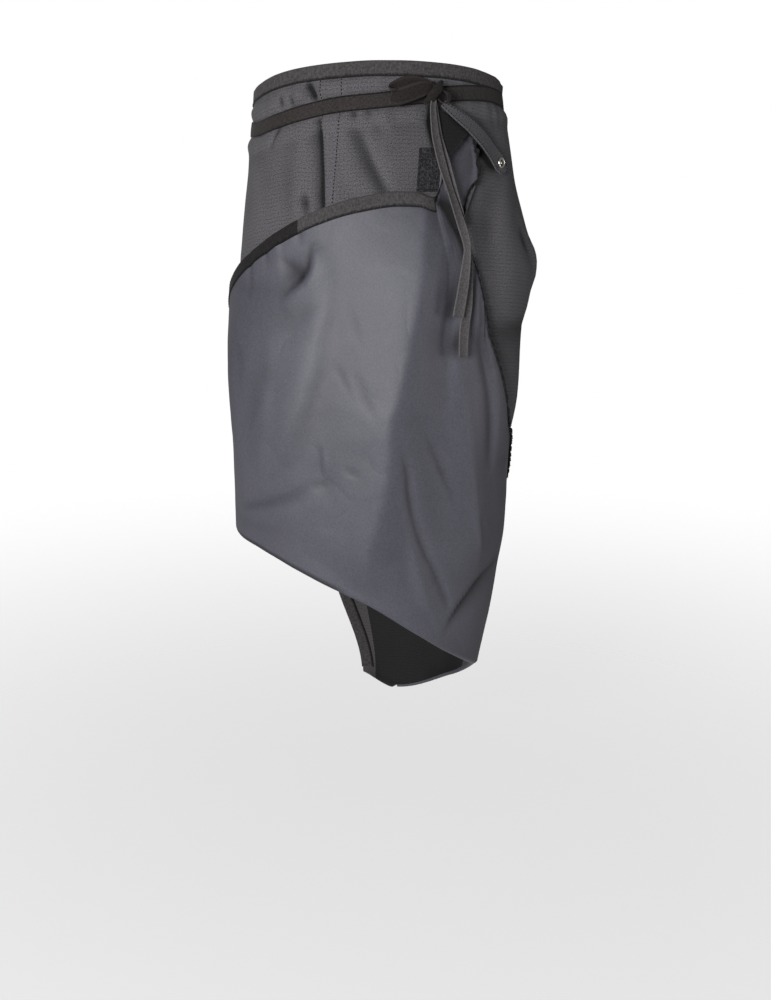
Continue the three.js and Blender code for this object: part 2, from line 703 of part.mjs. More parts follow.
function knotGeometry(grown = 0) {
  return bare(new THREE.SphereGeometry(1, KNOT.sides, KNOT.rings))
    .scale(KNOT.wide + grown, KNOT.high + grown, KNOT.deep + grown);
}
add(bow, "tie_knot", knotGeometry(), COLOURS.tape).applyMatrix4(seat(KNOT, true));

// Cuts a piece of tape off where it goes into the knot.
function clearOfKnot(made) {
  return fromSolid(solid(made).subtract(solid(knotGeometry(GAP).applyMatrix4(seat(KNOT, true)))));
}

// Stations along a route of { angle, z, off }, set across the way it runs.
function routeStations(route, steps, sideOf) {
  const curve = new THREE.CatmullRomCurve3(route.map((r) => formPoint(r.angle, r.z, r.off)));
  return Array.from({ length: steps + 1 }, (_, i) => {
    const share = i / steps;
    const row = share * (route.length - 1);
    const low = Math.min(route.length - 2, Math.floor(row));
    const value = (key) => mix(route[low][key], route[low + 1][key], row - low);
    const along = curve.getTangent(share);
    const out = sideOf(value, along);
    const across = new THREE.Vector3().crossVectors(along, out).normalize();
    const face = new THREE.Vector3().crossVectors(across, along).normalize();
    return { centre: curve.getPoint(share), across, out: face, share: value("width") };
  });
}

// A loop of tape whose width leans back from upright.
function loopGeometry(route, width) {
  const stations = routeStations(route, LOOP_STEPS, (value, along) => {
    const lean = value("lean");
    const wide = UP.clone().addScaledVector(outward(value("angle"), value("z")), -lean);
    return wide.cross(along).normalize();
  });
  return clearOfKnot(strip(stations, width, TAPE_WALL));
}
add(bow, "bow_loop", loopGeometry(LOOP_ROUTE, LOOP_WIDTH), COLOURS.tape);
add(bow, "bow_loop_small", loopGeometry(SMALL_LOOP_ROUTE, SMALL_LOOP_WIDTH), COLOURS.tape);

// A hanging tail, which turns about its own length.
function tailGeometry(route) {
  const stations = routeStations(route, TAIL_STEPS, (value, along) =>
    outward(value("angle"), value("z")).applyAxisAngle(along, value("turn")),
  );
  return clearOfKnot(strip(stations, TAIL_WIDTH, TAPE_WALL));
}
add(bow, "tie_tail_short", tailGeometry(SHORT_TAIL), COLOURS.tape);
add(bow, "tie_tail_long", tailGeometry(LONG_TAIL), COLOURS.tape);

// The fastening patch, sewn flat on the wrap

function gridQuads(rows, perRow) {
  const quads = [];
  for (let r = 0; r + 1 < rows; r++) {
    for (let c = 0; c + 1 < perRow; c++) {
      const at = r * perRow + c;
      quads.push([at, at + perRow, at + perRow + 1, at + 1]);
    }
  }
  return quads;
}

function patchGeometry() {
  const off = CLOTH / 2 + GAP + PATCH_WALL / 2 + PATCH_ROUND * (PATCH.to - PATCH.from);
  const points = [];
  for (let r = 0; r <= PATCH.rows; r++) {
    for (let c = 0; c <= PATCH.columns; c++) {
      const angle = mix(PATCH.from, PATCH.to, c / PATCH.columns) + PATCH.slant * (r / PATCH.rows - 0.5);
      const z = mix(PATCH.top, PATCH.foot, r / PATCH.rows);
      points.push(wrapPoint(angle, z, off));
    }
  }
  return outsideOut(wall(points, gridQuads(PATCH.rows + 1, PATCH.columns + 1), PATCH_WALL));
}
add(sewn, "fastening_patch", patchGeometry(), COLOURS.patch);

// The tab, and the stud that is riveted through its end

function tabGeometry() {
  const stations = routeStations(TAB_ROUTE, TAB_STEPS, (value) => outward(value("angle"), value("z")));
  const radius = STUD_POST_RADIUS + GAP;
  const hole = bare(new THREE.CylinderGeometry(radius, radius, STUD.holeDepth, STUD_SIDES));
  const strap = solid(strip(stations, TAB_WIDTH, TAB_WALL));
  return fromSolid(strap.subtract(solid(hole.applyMatrix4(seat(STUD, false)))));
}
add(fastening, "hip_tab", tabGeometry(), COLOURS.cloth);

function studGeometry() {
  const lift = TAB_WALL / 2 + STUD_SEAT;
  const outline = [
    ...STUD_FLANGE.map(({ radius, height }) => new THREE.Vector2(radius, height - lift)),
    ...STUD_CAP.map(({ radius, height }) => new THREE.Vector2(radius, height + lift)),
  ];
  return outsideOut(bare(new THREE.LatheGeometry(outline, STUD_SIDES)));
}
add(fastening, "snap_stud", studGeometry(), COLOURS.metal).applyMatrix4(seat(STUD, false));

export default apron;
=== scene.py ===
"""Dresses the driving apron: coated cloth, tapes, bow, patch, tab and stud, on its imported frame.

Most tables repeat the part's own, in millimetres and degrees, and every mesh is made in metres.
"""

import math

import bmesh
import bpy
import numpy as np
from mathutils import Matrix
from mathutils import Vector
from mathutils import noise


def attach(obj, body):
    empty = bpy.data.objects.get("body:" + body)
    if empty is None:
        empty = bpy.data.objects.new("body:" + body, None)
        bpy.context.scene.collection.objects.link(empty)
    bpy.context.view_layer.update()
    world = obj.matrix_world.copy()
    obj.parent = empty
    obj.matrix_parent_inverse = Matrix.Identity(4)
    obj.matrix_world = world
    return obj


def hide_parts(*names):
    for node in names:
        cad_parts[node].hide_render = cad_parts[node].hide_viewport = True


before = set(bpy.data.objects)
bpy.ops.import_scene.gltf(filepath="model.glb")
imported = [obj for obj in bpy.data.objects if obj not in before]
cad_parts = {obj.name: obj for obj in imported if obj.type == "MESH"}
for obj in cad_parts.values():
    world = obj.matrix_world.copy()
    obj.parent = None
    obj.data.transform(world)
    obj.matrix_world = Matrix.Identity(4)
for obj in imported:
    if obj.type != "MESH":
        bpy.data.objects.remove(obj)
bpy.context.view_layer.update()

bl_info = {
    "name": "Driving apron",
    "version": (1, 0, 0),
    "blender": (4, 5, 0),
    "location": "View3D > Sidebar > Apron",
    "description": "Builds the looks of a wrap-around driving apron on its packed frame",
    "category": "Add Mesh",
}

MM = 0.001
UP = np.array([0.0, 0.0, 1.0])

# The radius at which the cloth's weave is laid out flat, and a degree round it in millimetres
WEAVE_RADIUS = 0.165
DEGREE = math.radians(1) * WEAVE_RADIUS / MM

# How finely the line of a bend is followed, and how round its top and how soft its feet are
BEND_STEPS = 22
CREST_ROUND = 0.06
CREST_EASE = 0.3
PLEAT_CURVE = 0.6

# Where each unevenness starts in the noise
WRAP_SEED = 1.0
LAP_SEED = 7.0
GATHER_SEED = 3.0
PUCKER_SEED = 5.0
PILE_SEED = 0


class Table:
    """Named columns of numbers, read smoothly between their rows and never past a row."""

    def __init__(self, names, *rows):
        self.names = names.split()
        for name, values in zip(self.names, zip(*rows)):
            setattr(self, name, np.array(values, float))

    def rows(self):
        """Each row as values by name."""
        return [dict(zip(self.names, row)) for row in zip(*(getattr(self, n) for n in self.names))]

    def at(self, where, name):
        """A column's value at these places in the first column."""
        x = getattr(self, self.names[0])
        y = getattr(self, name)
        if x[0] > x[-1]:
            x = x[::-1]
            y = y[::-1]
        slope = np.diff(y) / np.diff(x)
        product = slope[:-1] * slope[1:]
        total = np.where(product > 0, slope[:-1] + slope[1:], 1)
        inner = np.where(product > 0, 2 * product / total, 0)
        tangent = np.concatenate([slope[:1], inner, slope[-1:]])
        q = np.clip(where, x[0], x[-1])
        i = np.clip(np.searchsorted(x, q, side="right") - 1, 0, len(x) - 2)
        span = x[i + 1] - x[i]
        t = (q - x[i]) / span
        bend = span * t * (1 - t) * ((1 - t) * tangent[i] - t * tangent[i + 1])
        return y[i] + (y[i + 1] - y[i]) * t * t * (3 - 2 * t) + bend


def bend_line(*rows):
    """A bend of the cloth along a line."""
    return Table("angle z left right height", *rows)


# The form that the cloth hangs in: an ellipse at each height, deeper or shallower behind
SECTIONS = Table(
    "z half_width front back shift",
    (60, 149.5, 112, 108, -8.5),
    (0, 154, 116, 112, -9),
    (-50, 162, 122, 119, -7),
    (-98, 168.5, 129, 129, -5.5),
    (-148, 178.5, 136, 138, -2),
    (-175, 184, 138.5, 141, 0.5),
    (-201, 188, 140, 144, 2),
    (-228, 187.5, 141.5, 145, 0.5),
    (-256, 185.5, 143, 146, -2.5),
    (-283, 183, 144.5, 146, -6.5),
    (-339, 183, 146, 144, -8),
    (-367, 182.5, 146.5, 143, -8.5),
    (-396, 180, 147, 142, -10),
    (-454, 173.5, 147, 139, -15.5),
    (-547, 171.5, 147, 135.5, -21.5),
    (-605, 167, 146, 134, -26),
    (-663, 161, 144, 133, -28),
    (-752, 151, 138, 132, -33),
    (-860, 142.5, 132, 130, -37.5),
)

# The two upright edges at the back and the end of the turned-up part, in degrees round from the front
RIGHT_EDGE = -157
LEFT_EDGE = 198
LAP_END = 160

# How the back part swings forward towards its foot
SWING_FROM = -640
SWING_FALL = 190
SWING_TURN = 19

# The soft fold at the foot, and how far the turned-up part stands out between its fold and its edge
FOLD_WIDTH = 9
LAP_BULGE = 3.5

# Height of the waist edge and of the tie
WAIST = Table(
    "angle top tie",
    (-162, 8, -24),
    (-90, 6, -37),
    (-71, 14, -37),
    (-51, 25, -28),
    (-36, 31, -19),
    (-16, 36, -9),
    (0, 38, -5),
    (10, 38, -2),
    (28, 36, 2),
    (45, 32, 4.5),
    (55, 28, 4.5),
    (68, 22.5, 1.5),
    (90, 12, -5),
    (198, 8, -24),
)

# The foot of the wrap: the soft fold, then the hem past its end
FOOT = Table(
    "angle z",
    (-157, -462),
    (-120, -522),
    (-90, -550),
    (-79, -554),
    (-56, -556),
    (-43, -563),
    (-30, -575),
    (-18, -589),
    (0, -613),
    (23, -658),
    (42, -694),
    (66, -730),
    (90, -757),
    (120, -802),
    (160, -846),
    (198, -824),
)

# The free edge of the turned-up part, over each place on the fold
LAP_EDGE = Table(
    "fold angle z stand",
    (-157, -157, -438, 6),
    (-130, -130, -340, 9),
    (-85, -83.5, -231, 13),
    (-73, -72, -209, 12),
    (-62, -62, -190, 11),
    (-44, -43.6, -157, 7.5),
    (-26, -25.6, -131, 5.5),
    (-9, -9.6, -116, 5),
    (8, 5.7, -109, 5),
    (20, 13.4, -110, 5),
    (31, 19.9, -116, 5),
    (38, 25.3, -86, 6),
    (44, 26.6, -40, 6.5),
    (50, 30, -22, 6.5),
    (56, 35.8, -26, 6),
    (62, 42.1, -43, 6),
    (68, 43.4, -72, 6),
    (73, 42.5, -92, 6),
    (77, 38.5, -101, 6),
    (81, 34.5, -116, 6),
    (84, 32, -136, 6),
    (87, 30.9, -164, 6),
    (91, 32.9, -190, 6),
    (95, 35.5, -218, 6),
    (102, 43, -267, 6),
    (110, 53, -326, 6),
    (118, 62.8, -391, 6),
    (123, 72, -423, 6),
    (140, 122, -600, 7),
    (160, 160, -815, 8),
)
BOUND_EDGE_END = 31.5

# The throat under the gathered corner: the cloth over the fold between these two places is drawn
# together along the line between them
THROAT = Table("fold angle z", (31, 19.9, -116), (87, 30.9, -164))

# Long soft folds, from one place to another
WRAP_FOLDS = Table(
    "angle z to_angle to_z spread height",
    (88, -176, 88, -226, 20, 4),
    (148, -220, 138, -690, 12, 5),
    (170, -240, 166, -760, 8, -4),
    (-130, -170, -125, -430, 12, 3),
)
FOLD_FADE = 0.25
LAP_FADE_FOLD = 0.12

# Bends of the cloth, most of them drawn from top to bottom: at each place how far a bend spreads to
# its left and to its right, and how high it stands or, below nought, how deep it lies
DART_FOLD = bend_line(
    (-26.4, -18, 22, 4, -2),
    (-25.8, -28, 26, 4, -8),
    (-25.2, -49, 28, 5, -10),
    (-24.5, -83, 28, 5, -10),
    (-23.9, -118, 28, 5, -9),
    (-23.4, -150, 24, 5, 0),
)
WRAP_PLEATS = (DART_FOLD,)
SIDE_PINCH = bend_line(
    (-47, -24, 4, 6, 0),
    (-48, -33, 5, 8, -5.5),
    (-51, -45, 6, 9, -5),
    (-54, -62, 5, 7, 0),
)
BEHIND_TAILS = bend_line(
    (24, -6, 6, 5, 0),
    (23.6, -20, 10, 6, -7),
    (23.8, -42, 10, 6, -7),
    (25, -75, 7, 5, 0),
)
WRAP_CREASES = (SIDE_PINCH, BEHIND_TAILS)
WRAP_SWELLS = (
    bend_line((-33.5, 17, 5, 4, 0), (-31.6, 10, 7, 6, -6), (-29, 1, 8, 6, -8), (-27.2, -8, 5, 4, -2)),
    bend_line((-40, 14, 9, 7, 0), (-37, 5, 12, 8, 4), (-33, -6, 9, 6, 3)),
    bend_line((-26.6, 12, 5, 7, 0), (-25.4, 4, 5, 7, 2.4), (-24.8, -3, 4, 6, 0.5)),
    bend_line((-50, 2, 6, 5, 0), (-48, -6, 6, 5, -5), (-46, -13, 5, 4, -1)),
    bend_line((-43, 4, 6, 5, 0), (-41, -4, 6, 5, -5), (-39.4, -11, 5, 4, -1)),
    bend_line((-11, -30, 8, 7, 0), (-8, -50, 10, 7, -3), (-3.5, -80, 12, 7, -4.8),
              (1, -108, 10, 7, -3.6), (3, -122, 8, 8, 0)),
    bend_line((-20, -24, 9, 9, 0), (-17, -40, 12, 10, 1.8), (-12, -80, 14, 10, 2.4),
              (-9, -115, 10, 10, 0)),
    bend_line((-11, -13, 5, 4, 0), (-10, -20, 6, 4, -4.5), (-8.4, -32, 5, 4, 0)),
    bend_line((-5, -12, 5, 4, 0), (-4, -18, 6, 4, -3.6), (-2.4, -29, 5, 4, 0)),
    bend_line((-34, -106, 7, 6, 0), (-32.5, -119, 8, 6, -4), (-31.6, -132, 8, 6, -3)),
    bend_line((68, -150, 12, 9, 0), (73, -176, 16, 10, -6), (76, -196, 16, 10, -6),
              (78, -225, 12, 9, 0)),
    bend_line((2.2, -12, 6, 6, 0), (3, -20, 7, 7, 1.8), (4.4, -34, 8, 8, 1.4), (6.4, -54, 8, 8, 0)),
    bend_line((66, -80, 20, 20, 0), (63.8, -102, 23, 20, 2.6), (57, -138, 23, 20, 3.4),
              (52, -230, 23, 23, 0)),
    bend_line((50, -100, 15, 15, 0), (44, -150, 17, 15, -3), (44, -200, 17, 15, -2.6),
              (54, -280, 17, 17, 0)),
    bend_line((-66, -60, 23, 23, 0), (-62, -110, 23, 20, 2.2), (-60, -160, 23, 20, 1.6),
              (-60, -200, 23, 23, 0)),
    bend_line((-43, -40, 14, 14, 0), (-42, -90, 17, 14, -2), (-40, -140, 17, 14, -1.4),
              (-40, -170, 14, 14, 0)),
)
LAP_RIDGE = bend_line(
    (16.9, -112, 40, 45, 3),
    (13.7, -162, 60, 60, 10),
    (11.6, -214, 78, 70, 17),
    (11.2, -255, 80, 75, 20),
    (9.6, -300, 80, 75, 21),
    (6.5, -350, 80, 75, 22),
    (3.9, -381, 80, 75, 22),
    (5.2, -437, 80, 72, 20),
    (4.4, -474, 78, 68, 17),
    (2.9, -500, 75, 64, 14.5),
    (0.5, -540, 70, 60, 10.5),
    (-0.5, -575, 60, 52, 7),
    (-1, -610, 50, 45, 2.5),
)
LAP_SIDE_RIDGE = bend_line(
    (28, -290, 40, 30, 0),
    (33.4, -368, 55, 35, 5),
    (38.1, -420, 60, 40, 8),
    (44.3, -487, 60, 40, 9),
    (49.6, -550, 55, 40, 7),
    (54, -600, 40, 30, 0),
)
LAP_PLEATS = (LAP_RIDGE, LAP_SIDE_RIDGE)
LAP_DIAGONAL = bend_line(
    (8.4, -412, 4, 9, 0),
    (11.9, -444, 5, 10, -4),
    (14, -476, 5, 11, -4.5),
    (17.7, -515, 5, 11, -3.6),
    (22.3, -547, 6, 10, -3.4),
    (27.7, -574, 7, 10, -3.4),
    (35.3, -613, 10, 9, -3.6),
    (39.9, -642, 9, 8, -1),
)
LAP_WEDGE = bend_line(
    (15, -520, 12, 8, 0),
    (18, -544, 14, 9, 2),
    (21.7, -576, 16, 10, 3.4),
    (26.7, -614, 18, 11, 3.6),
    (35.4, -663, 12, 8, 1),
)
LAP_TUCK = bend_line(
    (80, -586, 10, 24, 0),
    (61, -599, 8, 54, -6.5),
    (49, -624, 8, 58, -7.5),
    (41.5, -646, 7, 50, -7.5),
    (36.4, -668, 6, 30, -3),
)
LAP_HOLLOW_RIM = bend_line(
    (-25.5, -166, 8, 20, 0),
    (-26, -181, 7, 22, 4.5),
    (-26.5, -198, 7, 24, 6),
    (-29.6, -215, 7, 24, 6),
    (-34.8, -230, 7, 22, 4.5),
    (-39, -245, 8, 18, 0),
)
LAP_CREASES = (
    LAP_DIAGONAL,
    LAP_WEDGE,
    LAP_TUCK,
    LAP_HOLLOW_RIM,
    bend_line((15.9, -388, 5, 9, 0), (21.9, -421, 6, 10, -2), (28.2, -454, 6, 10, -2.2),
              (35, -493, 5, 9, 0)),
    bend_line((-14.3, -232, 5, 7, 0), (-10, -262, 5, 7, -1), (-6.2, -288, 5, 7, 0)),
    bend_line((-17.6, -301, 5, 7, 0), (-13.5, -325, 5, 7, -1), (-9.4, -348, 5, 7, 0)),
    bend_line((-9.6, -314, 6, 8, 0), (-5, -348, 6, 8, -1.4), (0, -384, 5, 8, 0)),
    bend_line((-21.4, -405, 4, 4, 0), (-21, -425, 4, 4, -1.2), (-20.4, -449, 4, 4, 0)),
    bend_line((-19.2, -410, 4, 4, 0), (-18.8, -430, 4, 4, 0.9), (-18.4, -447, 4, 4, 0)),
    bend_line((-25, -462, 5, 5, 0), (-20.5, -459, 5, 5, -1.6), (-15.9, -454, 5, 5, 0)),
    bend_line((-12, -435, 5, 5, 0), (-8, -440, 5, 5, -1.4), (-4, -445, 5, 5, 0)),
)
LAP_SWELLS = (
    bend_line((24.6, -170, 16, 10, 0), (25.4, -205, 24, 11, -4.5), (25.6, -240, 28, 12, -7.5),
              (25, -285, 27, 14, -8), (24, -330, 22, 14, -4), (23, -375, 16, 14, 0)),
    bend_line((26.4, -112, 14, 6, -5), (28.6, -140, 17, 7, -7), (30, -165, 18, 8, -7.5),
              (30.6, -195, 18, 8, -7), (30, -230, 14, 9, -3.5), (29, -260, 12, 9, 0)),
    bend_line((32, -181, 6, 5, 0), (33, -223, 7, 6, 3), (35.5, -259, 7, 6, 3), (39, -290, 6, 5, 0)),
    bend_line((40, -44, 22, 6, -2), (40.5, -60, 30, 6, -5), (40.5, -78, 30, 6, -5),
              (37, -100, 22, 6, -3), (32, -130, 10, 6, 0)),
    bend_line((37.9, -265, 7, 6, 0), (42.3, -303, 9, 7, -4.5), (46.3, -348, 10, 8, -5),
              (49.5, -399, 10, 9, -5), (53.3, -453, 9, 9, 0)),
    bend_line((-19.6, -180, 16, 14, 0), (-22.6, -232, 22, 13, 3), (-26, -319, 24, 14, 4.6),
              (-31, -367, 24, 14, 4.8), (-38, -413, 24, 15, 3.8), (-47, -459, 20, 16, 0)),
    bend_line((-60, -225, 26, 60, 0), (-60, -290, 36, 80, 13), (-59, -380, 36, 85, 15),
              (-59, -460, 36, 80, 11), (-58, -530, 35, 60, 0)),
    bend_line((-43, -330, 9, 9, 0), (-44, -370, 11, 11, 1.8), (-46, -430, 11, 11, 1.8),
              (-48, -480, 9, 9, 0)),
    bend_line((-42, -186, 10, 9, -1), (-37, -197, 14, 10, -3), (-33, -203, 11, 8, -2.4)),
    bend_line((-49.6, -176, 4, 4, -2.4), (-47, -206, 5, 5, 0)),
    bend_line((-33.8, -146, 4, 4, -2.4), (-32.5, -172, 5, 5, 0)),
    bend_line((-44.2, -166, 5, 5, 2.2), (-41, -210, 6, 6, 0)),
    bend_line((-58.4, -190, 5, 5, -2.4), (-56.5, -245, 6, 6, 0)),
    bend_line((-25, -463, 9, 9, -1), (-35.3, -482, 10, 9, -2.8), (-55.8, -502, 9, 8, -2.8),
              (-66, -510, 6, 6, 0)),
    bend_line((-24, -425, 12, 12, 0), (-21, -445, 14, 14, -1.2), (-17.7, -464, 14, 14, -1.4),
              (-14, -490, 12, 12, 0)),
    bend_line((42.3, -486, 5, 5, 0), (46.9, -529, 5, 5, 1.6), (53.3, -573, 5, 5, 0)),
    bend_line((38.5, -46, 4, 4, -2), (35, -54, 5, 5, -4), (30.5, -63, 6, 6, -4), (25, -71, 6, 6, -4)),
)

# The slight unevenness of the cloth: the size of each ripple in metres and its height in millimetres
RIPPLES = ((0.045, 0.6), (0.017, 0.14))

# What the tie does to the cloth: it gathers it, draws it in, and lets it puff out above and below
GATHER = 4.0
GATHER_PITCH = 13.0
GATHER_LENGTH = 4
GATHER_REACH = 17.0
CINCH = 2.0
CINCH_REACH = 11.0
CINCH_SHARPNESS = 6
PUFF = 2.6
PUFF_FROM_TIE = 20.0
PUFF_REACH = 8.0
PUFF_CLEAR = 15.0
PUFF_FADE = 8.0

# Routes of the tab, the loops and the tails: place, stand-off, turn or lean, and share of the full width
TAB_ROUTE = Table(
    "angle z off turn width",
    (27.5, -8, 12, -0.2, 0.35),
    (30, -14, 13.5, -0.3, 0.45),
    (34, -22, 14, -0.35, 0.65),
    (39, -31, 13, -0.38, 0.82),
    (44, -42, 11, -0.38, 0.95),
    (48.5, -52, 8.8, -0.34, 1),
    (52.5, -62, 7, -0.28, 1),
    (56, -70, 5.6, -0.16, 1),
    (58.9, -76, 4.6, 0, 0.98),
    (60.8, -81, 4.5, 0, 0.86),
    (62.2, -85, 4.5, 0, 0.62),
    (63, -88, 4.5, 0, 0.2),
)
LOOP_ROUTE = Table(
    "angle z off lean width",
    (23.6, 9, 9.5, 0.3, 0.5),
    (20, 11.5, 9.5, 0.3, 0.75),
    (16.5, 13.2, 9.5, 0.3, 0.95),
    (13, 13, 9.6, 0.35, 1),
    (9.6, 10, 10, 0.3, 1),
    (7, 5.5, 11, 0.1, 1),
    (6.2, 1.6, 12.6, -0.1, 1),
    (7.6, -1, 14.8, -0.2, 1),
    (10.5, 0.6, 16.4, -0.2, 0.95),
    (14, 4, 17.4, -0.15, 0.95),
    (17.8, 7.4, 17.6, -0.1, 0.9),
    (21.2, 9, 16.4, 0, 0.65),
    (24, 8.6, 13.5, 0, 0.45),
)
SMALL_LOOP_ROUTE = Table(
    "angle z off width",
    (24.5, 4, 12, 0.7),
    (26.4, 5.5, 13, 0.9),
    (28.4, 4.5, 14, 1),
    (30, 0.5, 14.5, 1),
    (29.9, -4.5, 14, 1),
    (28, -7.5, 13, 1),
    (26, -5.5, 12, 0.9),
    (24.3, -1, 11, 0.7),
)
KNOT_TURN_ROUTE = Table(
    "angle z off width",
    (27.6, 12, 8, 0.7),
    (26.8, 13, 14, 0.85),
    (25, 9, 18.6, 1),
    (22.6, 2, 18.8, 1),
    (20.8, -6, 15, 0.9),
    (20.2, -9, 9, 0.7),
)
SHORT_TAIL = Table(
    "angle z off turn width",
    (23.4, 4, 11.5, 0, 0.4),
    (22.8, -6, 15.5, -0.2, 0.46),
    (22, -16, 18, -0.35, 0.55),
    (21.6, -31, 20, -0.4, 0.66),
    (21.7, -49, 21, -0.35, 0.72),
    (23.2, -77, 22.5, -0.35, 0.74),
    (25.2, -105, 23.5, -0.5, 0.72),
    (26.8, -134, 25, -0.3, 0.74),
    (28, -160, 26, 0.3, 0.6),
    (27.8, -174, 27, 0.6, 0.5),
    (26.4, -194, 27, 0.35, 0.66),
    (25.6, -220, 26.5, 0.1, 0.82),
    (25.2, -252, 26, 0.05, 0.88),
)
LONG_TAIL = Table(
    "angle z off turn width",
    (23.4, 1, 9.5, 0.3, 0.4),
    (23.3, -8, 11.5, 0.2, 0.5),
    (22.9, -18, 14, 0, 0.62),
    (22.7, -31, 16, -0.2, 0.72),
    (23.2, -49, 17, -0.3, 0.74),
    (25.2, -77, 17.5, 0.2, 0.74),
    (27, -106, 18.5, 0.5, 0.7),
    (28.2, -134, 20, 0.3, 0.62),
    (29, -163, 21, -0.2, 0.55),
    (28.9, -181, 22, -0.5, 0.55),
    (28.4, -209, 22, -0.3, 0.62),
    (28.8, -238, 22, -0.1, 0.72),
    (29.2, -268, 22, 0.1, 0.78),
    (29.9, -301, 22, 0.1, 0.72),
)

# The knot, the patch and the stud: their places and stand-offs, and the knot's radii and pleats
KNOT_ANGLE = 23.4
KNOT_Z = 5
KNOT_OFF = 10.3
KNOT_RADII = (8.6, 7, 11.5)
KNOT_PLEATS = 3.5
KNOT_PLEAT_DEPTH = 0.36
KNOT_TWIST = 1.6
PATCH_FROM = 15.2
PATCH_TO = 28.4
PATCH_TOP = -58
PATCH_FOOT = -108
PATCH_SLANT = -2.4
STUD_ANGLE = 58.9
STUD_Z = -76
STUD_OFF = 4.6


# Sizes and colours

def length(name, description, default):
    """A size in metres."""
    return bpy.props.FloatProperty(
        name=name, description=description, default=default, min=0.0, precision=5, unit="LENGTH"
    )


def colour(name, description, default):
    """A colour, in linear values."""
    return bpy.props.FloatVectorProperty(
        name=name, description=description, default=default, size=3, min=0.0, max=1.0, subtype="COLOR"
    )


class ApronSizes(bpy.types.PropertyGroup):
    """Sizes of the apron's pieces"""

    cloth_wall: length("Cloth wall", "Thickness of the coated cloth", 0.0012)
    clearance: length("Clearance", "Left between neighbouring pieces", 0.00035)
    binding_width: length("Binding width", "Seen on each side of a bound edge", 0.016)
    binding_wall: length("Binding wall", "Thickness of the binding tape", 0.0009)
    hem_width: length("Hem width", "Turned over along the free edge of the lap", 0.0045)
    tie_width: length("Tie width", "Width of the tape round the waist", 0.018)
    tail_width: length("Tail width", "Width of the hanging ends of the tape", 0.016)
    loop_width: length("Loop width", "Width of the large loop of the bow", 0.020)
    small_loop_width: length("Small loop width", "Width of the small loop of the bow", 0.009)
    knot_turn_width: length("Knot turn width", "Width of the tape where it goes over the knot", 0.011)
    tape_wall: length("Tape wall", "Thickness of the tape", 0.0011)
    short_tail_length: length("Short tail length", "Free length of the front end of the tape", 0.266)
    long_tail_length: length("Long tail length", "Free length of the back end of the tape", 0.310)
    tab_width: length("Tab width", "Width of the hip tab", 0.024)
    tab_wall: length("Tab wall", "Thickness of the hip tab", 0.0016)
    patch_wall: length("Patch wall", "Thickness of the fastening patch", 0.0015)
    stitch_pitch: length("Stitch pitch", "From one stitch to the next", 0.0042)
    stitch_length: length("Stitch length", "Length of one stitch", 0.0030)
    stitch_radius: length("Stitch radius", "Half the thickness of the thread", 0.00065)
    flat_width: length("Flat width", "Width of the cloth before it is wrapped", 1.12)
    flat_length: length("Flat length", "Length of the cloth before it is turned up", 1.02)
    floor_depth: length("Floor depth", "From the tie down to the floor", 1.10)


class ApronColours(bpy.types.PropertyGroup):
    """Colours of the apron's finishes"""

    black_cloth: colour("Black cloth", "Woven outside of the cloth", (0.087, 0.083, 0.090))
    # Painted shadow: the facing is a black lining painted darker still with the shadow inside the back
    # part; the edge facing is left lighter
    facing: colour("Facing", "Black lining inside the back part", (0.013, 0.0122, 0.0128))
    edge_facing: colour("Edge facing", "Lining along the edge of the back part", (0.053, 0.050, 0.050))
    grey_coating: colour("Grey coating", "Coated inside of the cloth", (0.075, 0.074, 0.092))
    tape: colour("Binding tape", "Woven tape on the waist and lap edges", (0.061, 0.056, 0.058))
    tie: colour("Tie tape", "Woven tape round the waist", (0.033, 0.028, 0.028))
    # Painted shade: the bow is the tie's own tape, painted darker for the shade in its folds
    bow: colour("Bow tape", "Knot and loops of the bow", (0.019, 0.0155, 0.0155))
    # Painted shade: a dark tape colour for the shaded side of the lap's tape, and for the shadow line along
    # its hem
    shaded: colour("Shaded tape", "Tape of the lap at the side, and its hem", (0.015, 0.0135, 0.0135))
    side: colour("Side tape", "Binding of the two upright edges", (0.046, 0.043, 0.044))
    # Painted sheen: the tails are the tie's tape, painted lighter for the sheen of light on them rather
    # than rubbed
    tail: colour("Tail tape", "Rubbed ends of the tie", (0.078, 0.072, 0.075))
    thread: colour("Thread", "Sewing thread", (0.012, 0.011, 0.012))
    patch: colour("Patch", "Hook-and-loop pile", (0.016, 0.0152, 0.0172))
    metal: colour("Metal", "The stud", (0.78, 0.75, 0.68))
    # Painted shade: the stud's hollow is painted dark for the shade in its recess
    dulled: colour("Dulled metal", "The hollow of the stud", (0.06, 0.055, 0.05))
    floor: colour("Floor", "Studio floor", (0.86, 0.86, 0.86))


# The shape of the cloth

def smooth(share):
    """A share that eases in and out."""
    t = np.clip(share, 0, 1)
    return t * t * (3 - 2 * t)


def mix(a, b, share):
    """A value this share of the way from a to b."""
    return a + (b - a) * share


def unit(vectors):
    """The same directions at a length of one."""
    return vectors / np.linalg.norm(vectors, axis=-1, keepdims=True)


def noise_at(across, down, seed):
    """Smooth noise at each place."""
    spots = zip(np.ravel(across), np.ravel(down))
    return np.array([noise.noise((a, b, seed)) for a, b in spots]).reshape(np.shape(across))


def section(angle, z):
    """The turn in radians, and the form's half width and depth, at these angles and heights."""
    turn = np.radians(angle)
    deep = np.where(np.cos(turn) > 0, SECTIONS.at(z, "front"), SECTIONS.at(z, "back"))
    return turn, SECTIONS.at(z, "half_width"), deep


def outward(angle, z):
    """Unit directions out of the form."""
    turn, wide, deep = section(angle, z)
    return unit(np.stack([np.sin(turn) / wide, -np.cos(turn) / deep, np.zeros_like(turn + wide)], -1))


